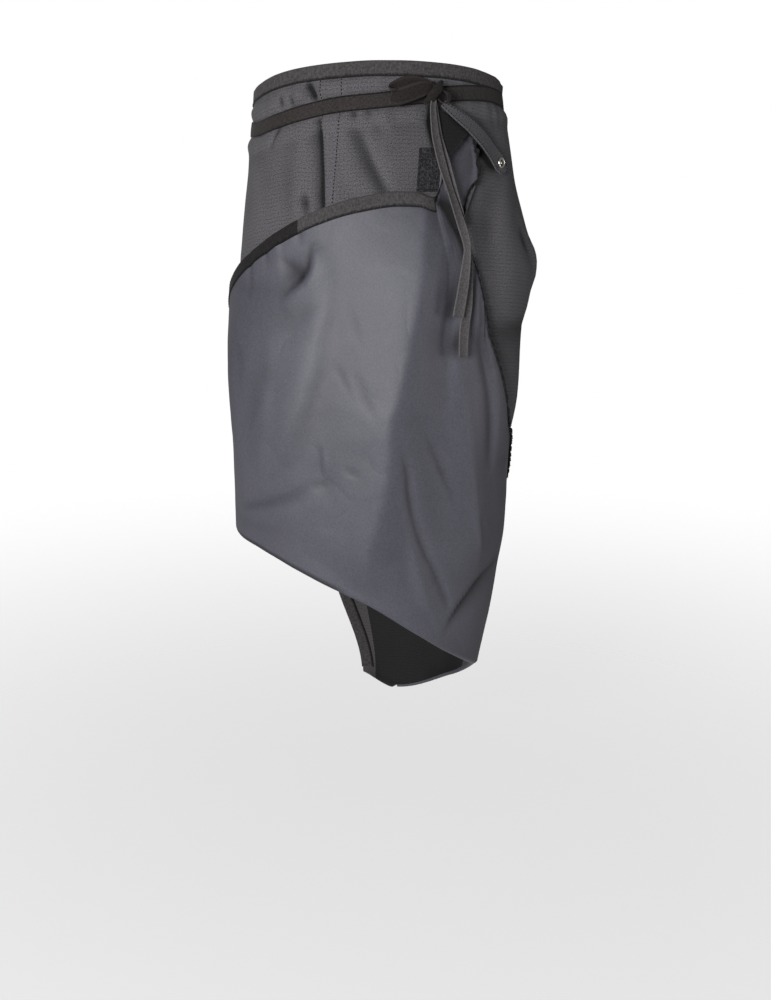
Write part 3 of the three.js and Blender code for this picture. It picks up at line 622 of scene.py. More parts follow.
def form(angle, z, off=0.0):
    """Points in metres at these angles and heights, standing off the form."""
    angle, z = np.broadcast_arrays(np.asarray(angle, float), np.asarray(z, float))
    turn, wide, deep = section(angle, z)
    x = SECTIONS.at(z, "shift") + wide * np.sin(turn)
    points = np.stack([x, -deep * np.cos(turn), z], -1)
    return (points + outward(angle, z) * np.expand_dims(np.asarray(off, float) + 0 * z, -1)) * MM


def fold_height(folds, angle, z):
    """Height of a table's folds at these places, in millimetres."""
    height = np.zeros_like(angle + z)
    for fold in folds.rows():
        down = (z - fold["z"]) / (fold["to_z"] - fold["z"])
        fade = smooth((down + FOLD_FADE) / (2 * FOLD_FADE))
        fade = fade * smooth((1 + FOLD_FADE - down) / (2 * FOLD_FADE))
        away = (angle - mix(fold["angle"], fold["to_angle"], down)) / fold["spread"]
        height = height + fold["height"] * fade * np.exp(-away * away)
    return height


def spline(points, shares):
    """Points along a smooth curve through these."""
    last = len(points) - 1
    ends = np.vstack([2 * points[0] - points[1], points, 2 * points[-1] - points[-2]])
    row = np.clip(shares, 0, 1) * last
    i = np.clip(np.floor(row).astype(int), 0, last - 1)
    t = (row - i)[:, None]
    a, b, c, d = ends[i], ends[i + 1], ends[i + 2], ends[i + 3]
    curve = 2 * b + (c - a) * t + (2 * a - 5 * b + 4 * c - d) * t ** 2
    return (curve + (3 * b - a - 3 * c + d) * t ** 3) / 2


def crest(away):
    """A sharp bend: straight sides that ease out at their feet."""
    t = 1 - np.sqrt(away * away + CREST_ROUND ** 2)
    foot = np.clip(t + CREST_EASE, 0, None) ** 2 / (4 * CREST_EASE)
    return np.where(t > CREST_EASE, t, foot)


def pleat(away):
    """A sharp bend whose sides curve up to it, so that they come out flat on a round form."""
    t = np.clip(1 - np.sqrt(away * away + CREST_ROUND ** 2), 0, 1)
    return PLEAT_CURVE * t * t + (1 - PLEAT_CURVE) * crest(away)


def swell(away):
    """A round bend."""
    return np.exp(-away * away)


def bend_height(bends, shape, angle, z):
    """Height of these bends at each place, in millimetres."""
    spots = np.stack([angle * DEGREE, z], -1).reshape(-1, 2)
    height = np.zeros(len(spots))
    for bend in bends:
        rows = np.stack([bend.angle * DEGREE, bend.z, bend.left, bend.right, bend.height], -1)
        line = spline(rows, np.linspace(0, 1, BEND_STEPS))
        nearest = np.full(len(spots), np.inf)
        lift = np.zeros(len(spots))
        for start, end in zip(line[:-1], line[1:]):
            step = end[:2] - start[:2]
            to = spots - start[:2]
            share = np.clip(to @ step / (step @ step), 0, 1)
            away = np.linalg.norm(to - share[:, None] * step, axis=1)
            right = step[0] * to[:, 1] - step[1] * to[:, 0] > 0
            spread = np.where(right, mix(start[3], end[3], share), mix(start[2], end[2], share))
            near = away < nearest
            lift[near] = (mix(start[4], end[4], share) * shape(away / spread))[near]
            nearest = np.minimum(nearest, away)
        height = height + lift
    return height.reshape(np.shape(angle))


def ripple(angle, z, seed):
    """Slight unevenness of hanging cloth, in millimetres."""
    height = 0
    for size, tall in RIPPLES:
        across = np.radians(angle) * WEAVE_RADIUS / size
        height = height + tall * noise_at(across, z * MM / size, seed)
    return height


def cinch(angle, z):
    """How firmly the tie holds the cloth, and how it draws it in, gathers it and lets it puff out."""
    away = z - WAIST.at(angle, "tie")
    held = 1 / (1 + (away / CINCH_REACH) ** CINCH_SHARPNESS)
    puff = np.exp(-((np.abs(away) - PUFF_FROM_TIE) / PUFF_REACH) ** 2)
    puff = puff * smooth((WAIST.at(angle, "top") - PUFF_CLEAR - z) / PUFF_FADE)
    gather = noise_at(angle * DEGREE / GATHER_PITCH, away / (GATHER_LENGTH * GATHER_PITCH), GATHER_SEED)
    gather = gather * np.exp(-np.abs(away) / GATHER_REACH)
    return held, PUFF * puff - CINCH * held + GATHER * gather * (1 - held)


def wrap_at(angle, z, off=0.0):
    """Points of the wrap round the waist."""
    angle, z = np.broadcast_arrays(np.asarray(angle, float), np.asarray(z, float))
    low = smooth((SWING_FROM - z) / SWING_FALL)
    past = np.maximum(0, (angle - LAP_END) / (LEFT_EDGE - LAP_END))
    held, drawn = cinch(angle, z)
    bends = bend_height(WRAP_CREASES, crest, angle, z) + bend_height(WRAP_SWELLS, swell, angle, z)
    bends = bends + bend_height(WRAP_PLEATS, pleat, angle, z)
    folds = fold_height(WRAP_FOLDS, angle, z) + (bends + ripple(angle, z, WRAP_SEED)) * (1 - held) + drawn
    return form(angle - SWING_TURN * low * past, z, off + folds)


def lap_place(fold, rise):
    """Angle and height on the turned-up part, from its fold at rise 0 to its edge at rise 1."""
    foot_z = FOOT.at(fold, "z") + FOLD_WIDTH / 2
    edge_angle = LAP_EDGE.at(fold, "angle")
    edge_z = LAP_EDGE.at(fold, "z")
    drawn = (fold > THROAT.fold[0]) & (fold < THROAT.fold[-1])
    throat_angle = np.where(drawn, THROAT.at(fold, "angle"), edge_angle)
    throat_z = np.where(drawn, THROAT.at(fold, "z"), edge_z)
    below = np.hypot((throat_angle - fold) * DEGREE, throat_z - foot_z)
    above = np.hypot((edge_angle - throat_angle) * DEGREE, edge_z - throat_z)
    turn = below / (below + above)
    low = np.clip(rise / turn, 0, 1)
    high = np.where(drawn, (rise - turn) / np.where(drawn, 1 - turn, 1), 0)
    high = np.clip(high, 0, 1)
    angle = mix(mix(fold, throat_angle, low), edge_angle, high)
    z = mix(mix(foot_z, throat_z, low), edge_z, high)
    return angle, z


def lap_at(fold, rise, off=0.0):
    """Points of the part turned up over the wrap."""
    angle, z = lap_place(fold, rise)
    stand = mix(FOLD_WIDTH, LAP_EDGE.at(fold, "stand"), smooth(rise))
    stand = stand + LAP_BULGE * np.sin(np.pi * rise)
    folds = bend_height(LAP_CREASES, crest, angle, z) + bend_height(LAP_SWELLS, swell, angle, z)
    folds = folds + bend_height(LAP_PLEATS, pleat, angle, z)
    folds = (folds + ripple(angle, z, LAP_SEED)) * smooth(rise / LAP_FADE_FOLD)
    under = np.maximum(0, fold_height(WRAP_FOLDS, angle, z))
    return form(angle, z, off + stand + folds + under)


def fold_at(angle, turn):
    """Points round the soft fold, from the wrap at turn 0 to the lap at turn pi."""
    half = FOLD_WIDTH / 2
    return wrap_at(angle, FOOT.at(angle, "z") + half * (1 - np.sin(turn)), half * (1 - np.cos(turn)))


# Making pieces

def grid_mesh(columns, rows, place):
    """A grid bent into shape: place gives each corner's point and its two weave coordinates."""
    bm = bmesh.new()
    bmesh.ops.create_grid(bm, x_segments=columns, y_segments=rows, size=0.5)
    bm.verts.index_update()
    spots = np.array([v.co[:2] for v in bm.verts]) + 0.5
    points, weave = place(spots[:, 0], spots[:, 1])
    for vert, point in zip(bm.verts, points):
        vert.co = point
    layer = bm.loops.layers.uv.new("weave")
    for face in bm.faces:
        face.smooth = True
        for corner in face.loops:
            corner[layer].uv = weave[corner.vert.index]
    return bm


def add_piece(bm, name, materials, nodes=(), wall=0.0, inside=0):
    """Turns a bmesh into a piece that rides on the frame and stands for these nodes."""
    mesh = bpy.data.meshes.new(name)
    bm.to_mesh(mesh)
    bm.free()
    for material in materials:
        mesh.materials.append(material)
    piece = bpy.data.objects.new(name, mesh)
    bpy.context.scene.collection.objects.link(piece)
    if wall:
        solidify = piece.modifiers.new("wall", "SOLIDIFY")
        solidify.thickness = wall
        solidify.offset = 0
        solidify.material_offset = inside
    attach(piece, "root")
    if nodes:
        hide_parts(*nodes)
    return piece


def arc(points):
    """Length run at each point of a line."""
    steps = np.linalg.norm(np.diff(points, axis=0), axis=1)
    return np.concatenate([[0], np.cumsum(steps)])


def turned(vectors, axes, angles):
    """Vectors turned about their axes."""
    c = np.cos(angles)[:, None]
    s = np.sin(angles)[:, None]
    dots = np.sum(vectors * axes, axis=1, keepdims=True)
    return vectors * c + np.cross(axes, vectors) * s + axes * dots * (1 - c)


class Strip:
    """A flat strip along a route: its middle line, and the directions along, across and out of it.

    A ring stands on its edge: its width points out of the form.
    """

    def __init__(self, route, steps, ring=False):
        shares = np.linspace(0, 1, steps + 1)
        count = len(route.angle)
        rows = shares * (count - 1)
        value = {name: np.interp(rows, range(count), getattr(route, name)) for name in route.names}
        self.middle = spline(form(route.angle, route.z, route.off), shares)
        self.along = unit(np.gradient(self.middle, axis=0))
        out = outward(value["angle"], value["z"])
        if "lean" in value:
            out = unit(np.cross(UP - out * value["lean"][:, None], self.along))
        if ring:
            out = unit(np.cross(out, self.along))
        if "turn" in value:
            out = turned(out, self.along, value["turn"])
        self.across = unit(np.cross(self.along, out))
        self.face = unit(np.cross(self.across, self.along))
        self.share = value["width"]

    def mesh(self, width, columns, cup=0.0):
        """A grid along the strip, cupped across by a little."""
        steps = len(self.middle) - 1
        run = arc(self.middle)

        def place(u, v):
            i = np.rint(v * steps).astype(int)
            side = (u - 0.5) * width
            points = self.middle[i] + self.across[i] * (side * self.share[i])[:, None]
            points = points + self.face[i] * (cup * (4 * (u - 0.5) ** 2 - 0.5))[:, None]
            return points, np.stack([side, run[-1] - run[i]], -1)

        return grid_mesh(columns, steps, place)


# Finishes

# Painted light and shade from the cloth's relief: crests, which stand this far out in millimetres, are
# painted this much lighter
CREST_HOLLOW = -0.5
CREST_PAINTED_LIGHT = 1.08

# Where the creases left by handling level off, and a full turn in radians
CRUMPLE_DEPTH = 0.09
FULL_TURN = 6.2832


def join(tree, made, links):
    """Sets the inputs of a node, each to a socket or to a value."""
    for key, value in links.items():
        if isinstance(value, bpy.types.NodeSocket):
            tree.links.new(value, made.inputs[key])
        else:
            made.inputs[key].default_value = value


def node(tree, kind, links=None, **settings):
    """Adds a shader node: links maps an input to a socket or to a value."""
    made = tree.nodes.new(kind)
    for name, value in settings.items():
        setattr(made, name, value)
    join(tree, made, links or {})
    return made


def maths(tree, operation, *values):
    """The result of a sum on sockets and values."""
    return node(tree, "ShaderNodeMath", dict(enumerate(values)), operation=operation).outputs[0]


def ramp(tree, value, start, end, first, last, **settings):
    """Runs from first to last while the value runs from start to end."""
    links = {0: value, 1: start, 2: end, 3: first, 4: last}
    return node(tree, "ShaderNodeMapRange", links, **settings).outputs[0]


def between(tree, share, first, second):
    """Two tones mixed by a share."""
    return node(tree, "ShaderNodeMix", {0: share, 2: first, 3: second}).outputs[0]


def cloud(tree, where, scale, detail):
    """Soft noise over a piece."""
    return node(tree, "ShaderNodeTexNoise", {"Vector": where, "Scale": scale, "Detail": detail}).outputs[0]


def waves(tree, place, rate):
    """Even waves along one coordinate, so many to the metre."""
    return maths(tree, "SINE", maths(tree, "MULTIPLY", place, maths(tree, "MULTIPLY", rate, FULL_TURN)))


def split(tree, where):
    """The separate coordinates of a place."""
    return node(tree, "ShaderNodeSeparateXYZ", {0: where}).outputs


def new_group(name, numbers, outputs):
    """An empty shader node group: a place and some numbers go in, and other numbers come out."""
    tree = bpy.data.node_groups.new(name, "ShaderNodeTree")
    tree.interface.new_socket("Vector", in_out="INPUT", socket_type="NodeSocketVector")
    for label, default in numbers.items():
        socket = tree.interface.new_socket(label, in_out="INPUT", socket_type="NodeSocketFloat")
        socket.default_value = default
    for label in outputs:
        tree.interface.new_socket(label, in_out="OUTPUT", socket_type="NodeSocketFloat")
    return tree, tree.nodes.new("NodeGroupInput").outputs, tree.nodes.new("NodeGroupOutput").inputs


def group_ripstop():
    """Fine plain weave with heavier threads in a square grid."""
    numbers = {"Cell": 0.005, "Line": 0.0007, "Thread": 900.0}
    tree, given, put = new_group("ripstop weave", numbers, ["Lines", "Height"])
    parts = split(tree, given["Vector"])
    half = maths(tree, "MULTIPLY", given["Cell"], 0.5)
    lines = []
    weave = []
    for axis in range(2):
        away = maths(tree, "PINGPONG", parts[axis], half)
        lines.append(ramp(tree, away, 0.0, given["Line"], 1.0, 0.0))
        weave.append(waves(tree, parts[axis], given["Thread"]))
    grid = maths(tree, "MAXIMUM", maths(tree, "MULTIPLY", lines[0], 0.5), lines[1])
    tree.links.new(grid, put["Lines"])
    cross = maths(tree, "MULTIPLY", *weave)
    tree.links.new(maths(tree, "MULTIPLY_ADD", cross, 0.35, grid), put["Height"])


def group_threads():
    """Uneven threads: streaks along the cloth and, by a share, across it."""
    numbers = {"Long": 200.0, "Fine": 750.0, "Across": 0.4}
    tree, given, put = new_group("uneven threads", numbers, ["Tone"])
    parts = split(tree, given["Vector"])
    streaks = []
    for first, second in (("Long", "Fine"), ("Fine", "Long")):
        u = maths(tree, "MULTIPLY", parts[0], given[first])
        v = maths(tree, "MULTIPLY", parts[1], given[second])
        spot = node(tree, "ShaderNodeCombineXYZ", {0: u, 1: v}).outputs[0]
        streaks.append(cloud(tree, spot, 1.0, 2.0))
    both = between(tree, given["Across"], *streaks)
    tree.links.new(ramp(tree, both, 0.39, 0.61, 0.0, 1.0), put["Tone"])


def group_drift():
    """Slow and fine changes of tone over a piece."""
    numbers = {"Broad": 9.0, "Fine": 700.0, "Grain": 0.5}
    tree, given, put = new_group("tone drift", numbers, ["Tone"])
    broad = cloud(tree, given["Vector"], given["Broad"], 3.0)
    fine = cloud(tree, given["Vector"], given["Fine"], 2.0)
    tree.links.new(between(tree, given["Grain"], broad, fine), put["Tone"])


def group_crumple():
    """Shallow creases left by handling."""
    tree, given, put = new_group("crumple", {"Scale": 12.0}, ["Height"])
    warp = cloud(tree, given["Vector"], given["Scale"], 1.5)
    folded = maths(tree, "ABSOLUTE", maths(tree, "SUBTRACT", warp, 0.5))
    tree.links.new(maths(tree, "SMOOTH_MIN", folded, CRUMPLE_DEPTH, CRUMPLE_DEPTH), put["Height"])


def group_tape():
    """Woven tape: ribs across its width with a slanting twill, and where its rims are, for the light and
    shade painted there.
    """
    numbers = {"Rib": 1000.0, "Twill": 600.0, "Middle": 0.0, "Half width": 0.009}
    tree, given, put = new_group("tape weave", numbers, ["Height", "Rim"])
    parts = split(tree, given["Vector"])
    rib = waves(tree, parts[1], given["Rib"])
    slant = maths(tree, "MULTIPLY", maths(tree, "ADD", parts[0], parts[1]), given["Twill"])
    twill = maths(tree, "SINE", maths(tree, "MULTIPLY", slant, FULL_TURN))
    tree.links.new(maths(tree, "MULTIPLY_ADD", twill, 0.5, rib), put["Height"])
    away = maths(tree, "ABSOLUTE", maths(tree, "SUBTRACT", parts[0], given["Middle"]))
    inside = maths(tree, "SUBTRACT", given["Half width"], away)
    tree.links.new(ramp(tree, inside, 0.0010, 0.0024, 1.0, 0.0), put["Rim"])


def place_group(tree, name, links):
    """Puts a node group into a material and gives its outputs."""
    made = tree.nodes.new("ShaderNodeGroup")
    made.node_tree = bpy.data.node_groups[name]
    join(tree, made, links)
    return made.outputs


def weave_map(tree):
    """Places on the cloth or tape as it was woven, in metres."""
    return node(tree, "ShaderNodeUVMap", uv_map="weave").outputs[0]


def object_map(tree):
    """Places on the piece as it is made, in metres."""
    return node(tree, "ShaderNodeTexCoord").outputs["Object"]


def thread_tone(tree, flat, long, fine, across):
    """The tone of uneven threads."""
    links = {"Vector": flat, "Long": long, "Fine": fine, "Across": across}
    return place_group(tree, "uneven threads", links)["Tone"]


def drift_tone(tree, broad, fine, grain):
    """A tone that drifts over a piece."""
    links = {"Vector": object_map(tree), "Broad": broad, "Fine": fine, "Grain": grain}
    return place_group(tree, "tone drift", links)["Tone"]


def painted_shade(tree, deep, share):
    """The painted shade in the cloth's hollows: this share of its tone is kept this many millimetres deep.
    """
    hollow = node(tree, "ShaderNodeAttribute", attribute_name="hollow").outputs["Fac"]
    return ramp(tree, hollow, CREST_HOLLOW, deep, CREST_PAINTED_LIGHT, share)


def start_material(name, roughness, **constants):
    """A material's nodes and its shader, whose constants are set on the shader itself."""
    material = bpy.data.materials.new(name)
    material.use_nodes = True
    tree = material.node_tree
    shader = tree.nodes["Principled BSDF"]
    shader.inputs["Roughness"].default_value = roughness
    for key, value in constants.items():
        shader.inputs[key.replace("_", " ")].default_value = value
    return tree, shader


def start_cloth(name, roughness, gloss, sheen, nap):
    """A cloth's material: matt, with a faint sheen that spreads with its nap."""
    constants = {"Specular_IOR_Level": gloss, "Sheen_Weight": sheen, "Sheen_Roughness": nap}
    return start_material(name, roughness, **constants)


def tint(tree, shader, base, tone, low, high, shade=None):
    """Base colour that runs from a darker to a lighter shade of one colour with the tone."""
    shades = [(*(min(1.0, c * k) for c in base), 1.0) for k in (low, high)]
    made = node(tree, "ShaderNodeMix", {0: tone, 6: shades[0], 7: shades[1]}, data_type="RGBA").outputs[2]
    # Painted shade darkens the colour where a shade is given
    if shade:
        made = node(tree, "ShaderNodeVectorMath", {0: made, "Scale": shade}, operation="SCALE").outputs[0]
    tree.links.new(made, shader.inputs["Base Color"])


def bump(tree, shader, height, strength, distance):
    """Fine relief."""
    made = node(tree, "ShaderNodeBump", {"Strength": strength, "Distance": distance, "Height": height})
    tree.links.new(made.outputs[0], shader.inputs["Normal"])


def ripstop_finish(name, base):
    """The woven side of the cloth, and its linings."""
    tree, shader = start_cloth(name, roughness=0.68, gloss=0.12, sheen=0.08, nap=0.5)
    flat = weave_map(tree)
    weave = place_group(tree, "ripstop weave", {"Vector": flat, "Cell": 0.0047, "Line": 0.0011})
    threads = thread_tone(tree, flat, long=600.0, fine=1200.0, across=0.5)
    mottle = between(tree, 0.25, threads, drift_tone(tree, broad=14.0, fine=420.0, grain=0.5))
    dashes = maths(tree, "MULTIPLY", weave["Lines"], maths(tree, "SUBTRACT", threads, 1.0))
    tone = maths(tree, "MULTIPLY_ADD", dashes, 0.4, mottle)
    # Painted shade in the creases and under the tapes, and painted light on the crests, from the hollow
    # attribute
    tint(tree, shader, base, tone, low=0.4, high=1.7, shade=painted_shade(tree, deep=3.8, share=0.12))
    height = maths(tree, "MULTIPLY_ADD", weave["Height"], 0.4, threads)
    bump(tree, shader, height, strength=0.35, distance=0.0004)


def coating_finish(name, base):
    """The coated side of the cloth."""
    tree, shader = start_cloth(name, roughness=0.53, gloss=0.4, sheen=0.08, nap=0.4)
    weave = place_group(tree, "ripstop weave", {"Vector": weave_map(tree), "Cell": 0.0055, "Line": 0.0009})
    crumple = place_group(tree, "crumple", {"Vector": object_map(tree), "Scale": 14.0})
    tone = drift_tone(tree, broad=7.0, fine=480.0, grain=0.6)
    # Painted shade in the creases and under the tapes, and painted light on the crests, from the hollow
    # attribute
    tint(tree, shader, base, tone, low=0.4, high=1.6, shade=painted_shade(tree, deep=7.0, share=0.11))
    height = maths(tree, "MULTIPLY_ADD", weave["Height"], 0.012, crumple["Height"])
    bump(tree, shader, height, strength=0.55, distance=0.006)


def tape_finish(name, base, middle, half, rim):
    """A woven tape, from its middle line and half width in metres, and how much lighter its rims are
    painted.
    """
    tree, shader = start_cloth(name, roughness=0.72, gloss=0.12, sheen=0.08, nap=0.4)
    flat = weave_map(tree)
    tape = {"Vector": flat, "Rib": 900.0, "Twill": 420.0, "Middle": middle, "Half width": half}
    weave = place_group(tree, "tape weave", tape)
    threads = thread_tone(tree, flat, long=260.0, fine=800.0, across=0.5)
    tone = between(tree, 0.5, threads, drift_tone(tree, broad=30.0, fine=600.0, grain=0.6))
    # Painted light and shade along the rims of the tape
    tone = maths(tree, "MULTIPLY_ADD", weave["Rim"], rim, tone)
    tint(tree, shader, base, tone, low=0.3, high=1.7)
    bump(tree, shader, weave["Height"], strength=0.4, distance=0.0003)


def pile_finish(name, base):
    """The small loops of the fastening patch."""
    tree, shader = start_cloth(name, roughness=0.9, gloss=0.08, sheen=0.05, nap=0.5)
    drift = drift_tone(tree, broad=60.0, fine=520.0, grain=0.85)
    cells = node(tree, "ShaderNodeTexVoronoi", {"Vector": object_map(tree), "Scale": 460.0})
    loops = cells.outputs["Distance"]
    tone = maths(tree, "MULTIPLY", drift, maths(tree, "MULTIPLY", loops, 2.2))
    tint(tree, shader, base, tone, low=-0.2, high=3.3)
    bump(tree, shader, loops, strength=0.9, distance=0.0012)


def metal_finish(name, base, roughness):
    """The metal of the stud."""
    tree, shader = start_material(name, roughness, Metallic=1.0)
    tone = drift_tone(tree, broad=120.0, fine=1600.0, grain=0.4)
    tint(tree, shader, base, tone, low=0.8, high=1.15)
    bump(tree, shader, tone, strength=0.1, distance=0.0002)


def floor_finish(name, base):
    """The studio floor, which fades out away from the middle."""
    tree, shader = start_material(name, 0.8)
    tint(tree, shader, base, drift_tone(tree, broad=1.5, fine=40.0, grain=0.3), low=0.98, high=1.02)
    level = node(tree, "ShaderNodeVectorMath", {0: object_map(tree), 1: (1, 1, 0)}, operation="MULTIPLY")
    reach = node(tree, "ShaderNodeVectorMath", {0: level.outputs[0]}, operation="LENGTH").outputs["Value"]
    fade = ramp(tree, reach, 0.2, 2.4, 0.4, 0.0, interpolation_type="SMOOTHSTEP")
    tree.links.new(fade, shader.inputs["Alpha"])


def make_materials(colours):
    """Every finish of the apron and the floor, by name."""
    for make_group in (group_ripstop, group_threads, group_drift, group_crumple, group_tape):
        make_group()
    ripstop_finish("black ripstop", colours.black_cloth)
    ripstop_finish("black facing", colours.facing)
    ripstop_finish("edge facing", colours.edge_facing)
    coating_finish("grey coating", colours.grey_coating)
    # The rim values paint a shade line along the rims of a tape where below nought, and a highlight where
    # above
    tape_finish("woven tape", colours.tape, middle=0.016, half=0.016, rim=-0.5)
    tape_finish("tie tape", colours.tie, middle=0.0, half=0.009, rim=-0.5)
    tape_finish("bow tape", colours.bow, middle=0.0, half=0.009, rim=0.8)
    tape_finish("shaded tape", colours.shaded, middle=0.016, half=0.016, rim=-0.3)
    tape_finish("side tape", colours.side, middle=0.016, half=0.016, rim=-0.5)
    tape_finish("tail tape", colours.tail, middle=0.0, half=0.008, rim=0.35)
    tape_finish("sewing thread", colours.thread, middle=0.0, half=1.0, rim=0.0)
    pile_finish("fastening pile", colours.patch)
    metal_finish("stud metal", colours.metal, 0.24)
    metal_finish("dulled metal", colours.dulled, 0.5)
    floor_finish("studio floor", colours.floor)


def finish_of(name):
    """A finish that has been made."""
    return bpy.data.materials[name]


# Stitches

def stitch_row(bm, line, outs, sizes, radius=None):
    """A row of stitches along a line of points, lying on a surface that faces outs."""
    run = arc(line)
    spots = np.arange(sizes.stitch_pitch / 2, run[-1], sizes.stitch_pitch)
    if len(spots) < 2:
        return
    middle = np.stack([np.interp(spots, run, line[:, k]) for k in range(3)], -1)
    along = unit(np.stack([np.gradient(middle[:, k]) for k in range(3)], -1))
    out = unit(np.stack([np.interp(spots, run, outs[:, k]) for k in range(3)], -1))
    side = unit(np.cross(out, along))
    up = np.cross(along, side)
    thick = radius or sizes.stitch_radius
    for p, a, s, o in zip(middle, along, side, up):
        turn = Matrix((a, s, o)).transposed()
        turn = turn @ Matrix.Diagonal((sizes.stitch_length / 2, thick, thick))
        place = Matrix.Translation(p) @ turn.to_4x4()
        bmesh.ops.create_icosphere(bm, subdivisions=1, radius=1.0, matrix=place)


# Operators

# The camera: its place in metres, its tilt below level in degrees, and its focal length in pixels
CAMERA_PLACE = (0, -1.70, -0.05)
CAMERA_TILT = 15.43
FOCAL_LENGTH = 1302
IMAGE_HEIGHT = 1000
SENSOR = 36

# The lights: their places, sizes and powers, where they point, and the light of the air itself
KEY_LIGHT = ((-1.25, -2.85, 0.1), 1.2, 102)
FILL_LIGHT = ((2.8, -0.6, -0.4), 0.8, 13)
LIGHT_AIM = (0, 0, -0.35)
AIR_LIGHT = 0.15

FLOOR_RADIUS = 4.0
FLOOR_SIDES = 96


class APRON_OT_stage(bpy.types.Operator):
    """Makes the finishes, the camera, the lights and a plain pale floor that fades into white air"""

    bl_idname = "apron.stage"
    bl_label = "Stage"

    def execute(self, context):
        scene = context.scene
        sizes = scene.apron_sizes
        make_materials(scene.apron_colours)
        self.camera(scene)
        self.floor(scene, sizes)
        self.light(scene, "key", *KEY_LIGHT)
        self.light(scene, "fill", *FILL_LIGHT)
        self.air(scene)
        scene.view_settings.view_transform = "Standard"
        return {"FINISHED"}

    def camera(self, scene):
        """Looks a little down at the front."""
        data = bpy.data.cameras.new("camera")
        data.sensor_width = SENSOR
        data.lens = SENSOR * FOCAL_LENGTH / IMAGE_HEIGHT
        data.dof.use_dof = False
        camera = bpy.data.objects.new("camera", data)
        camera.location = CAMERA_PLACE
        camera.rotation_euler = (math.radians(90 - CAMERA_TILT), 0, 0)
        scene.collection.objects.link(camera)
        scene.camera = camera

    def floor(self, scene, sizes):
        """A level disc."""
        bm = bmesh.new()
        bmesh.ops.create_circle(bm, cap_ends=True, segments=FLOOR_SIDES, radius=FLOOR_RADIUS)
        bmesh.ops.translate(bm, verts=bm.verts, vec=(0, 0, -sizes.floor_depth))
        mesh = bpy.data.meshes.new("studio_floor")
        bm.to_mesh(mesh)
        bm.free()
        mesh.materials.append(finish_of("studio floor"))
        floor = bpy.data.objects.new("studio_floor", mesh)
        scene.collection.objects.link(floor)

    def air(self, scene):
        """White to the camera, and dimmer as a light."""
        world = bpy.data.worlds.new("studio air")
        world.use_nodes = True
        tree = world.node_tree
        seen = node(tree, "ShaderNodeLightPath").outputs["Is Camera Ray"]
        shade = tree.nodes["Background"]
        shade.inputs["Color"].default_value = (1, 1, 1, 1)
        strength = maths(tree, "MULTIPLY_ADD", seen, 1 - AIR_LIGHT, AIR_LIGHT)
        tree.links.new(strength, shade.inputs["Strength"])
        scene.world = world

    def light(self, scene, name, place, size, power):
        """A square lamp that points at the apron and isn't seen itself."""
        data = bpy.data.lights.new(name, "AREA")
        data.size = size
        data.energy = power
        light = bpy.data.objects.new(name, data)
        light.location = place
        aim = Vector(LIGHT_AIM) - Vector(place)
        light.rotation_euler = aim.to_track_quat("-Z", "Y").to_euler()
        light.visible_camera = False
        scene.collection.objects.link(light)


# The tails: their grid, and how far they are cupped
TAIL_STEPS = 90
TAIL_COLUMNS = 8
TAIL_CUP = 0.0012


class APRON_OT_tails(bpy.types.Operator):
    """Makes the two hanging ends of the tape"""

    bl_idname = "apron.tails"
    bl_label = "Tie tails"

    def execute(self, context):
        sizes = context.scene.apron_sizes
        tails = (
            ("short_tail", SHORT_TAIL, "tie_tail_short", sizes.short_tail_length),
            ("long_tail", LONG_TAIL, "tie_tail_long", sizes.long_tail_length),
        )
        for name, route, solid, long in tails:
            strip = Strip(route, TAIL_STEPS)
            bm = strip.mesh(sizes.tail_width, TAIL_COLUMNS, TAIL_CUP)
            piece = add_piece(bm, name, [finish_of("tail tape")], [solid], sizes.tape_wall)
        return {"FINISHED"}


# The grid of the cloth: its columns go round the wrap, and its rows run from the free edge of the lap,
# round the fold at the foot and up to the waist
COLUMNS = 260
LAP_ROWS = 92
FOLD_ROWS = 8
WRAP_ROWS = 84
COLUMN_ANGLES = Table(
    "share angle",
    (0, RIGHT_EDGE),
    (0.05, -97),
    (0.22, -46),
    (0.60, 48),
    (0.72, 80),
    (0.92, 126),
    (0.96, LAP_END),
    (1, LEFT_EDGE),
)
WRAP_DROPS = Table("share down", (0, 0), (0.42, 0.23), (1, 1))
TINY_ANGLE = 1e-6

# Where the back part has a black lining, painted darker with the shadow inside the back, and where a
# lighter lining, without that painted shadow, follows it along the edge, in degrees, and the places of both
# in the list of finishes
FACING_FROM = 104
FACING_TO = 183
FACING_FINISH = 2
EDGE_FINISH = 4

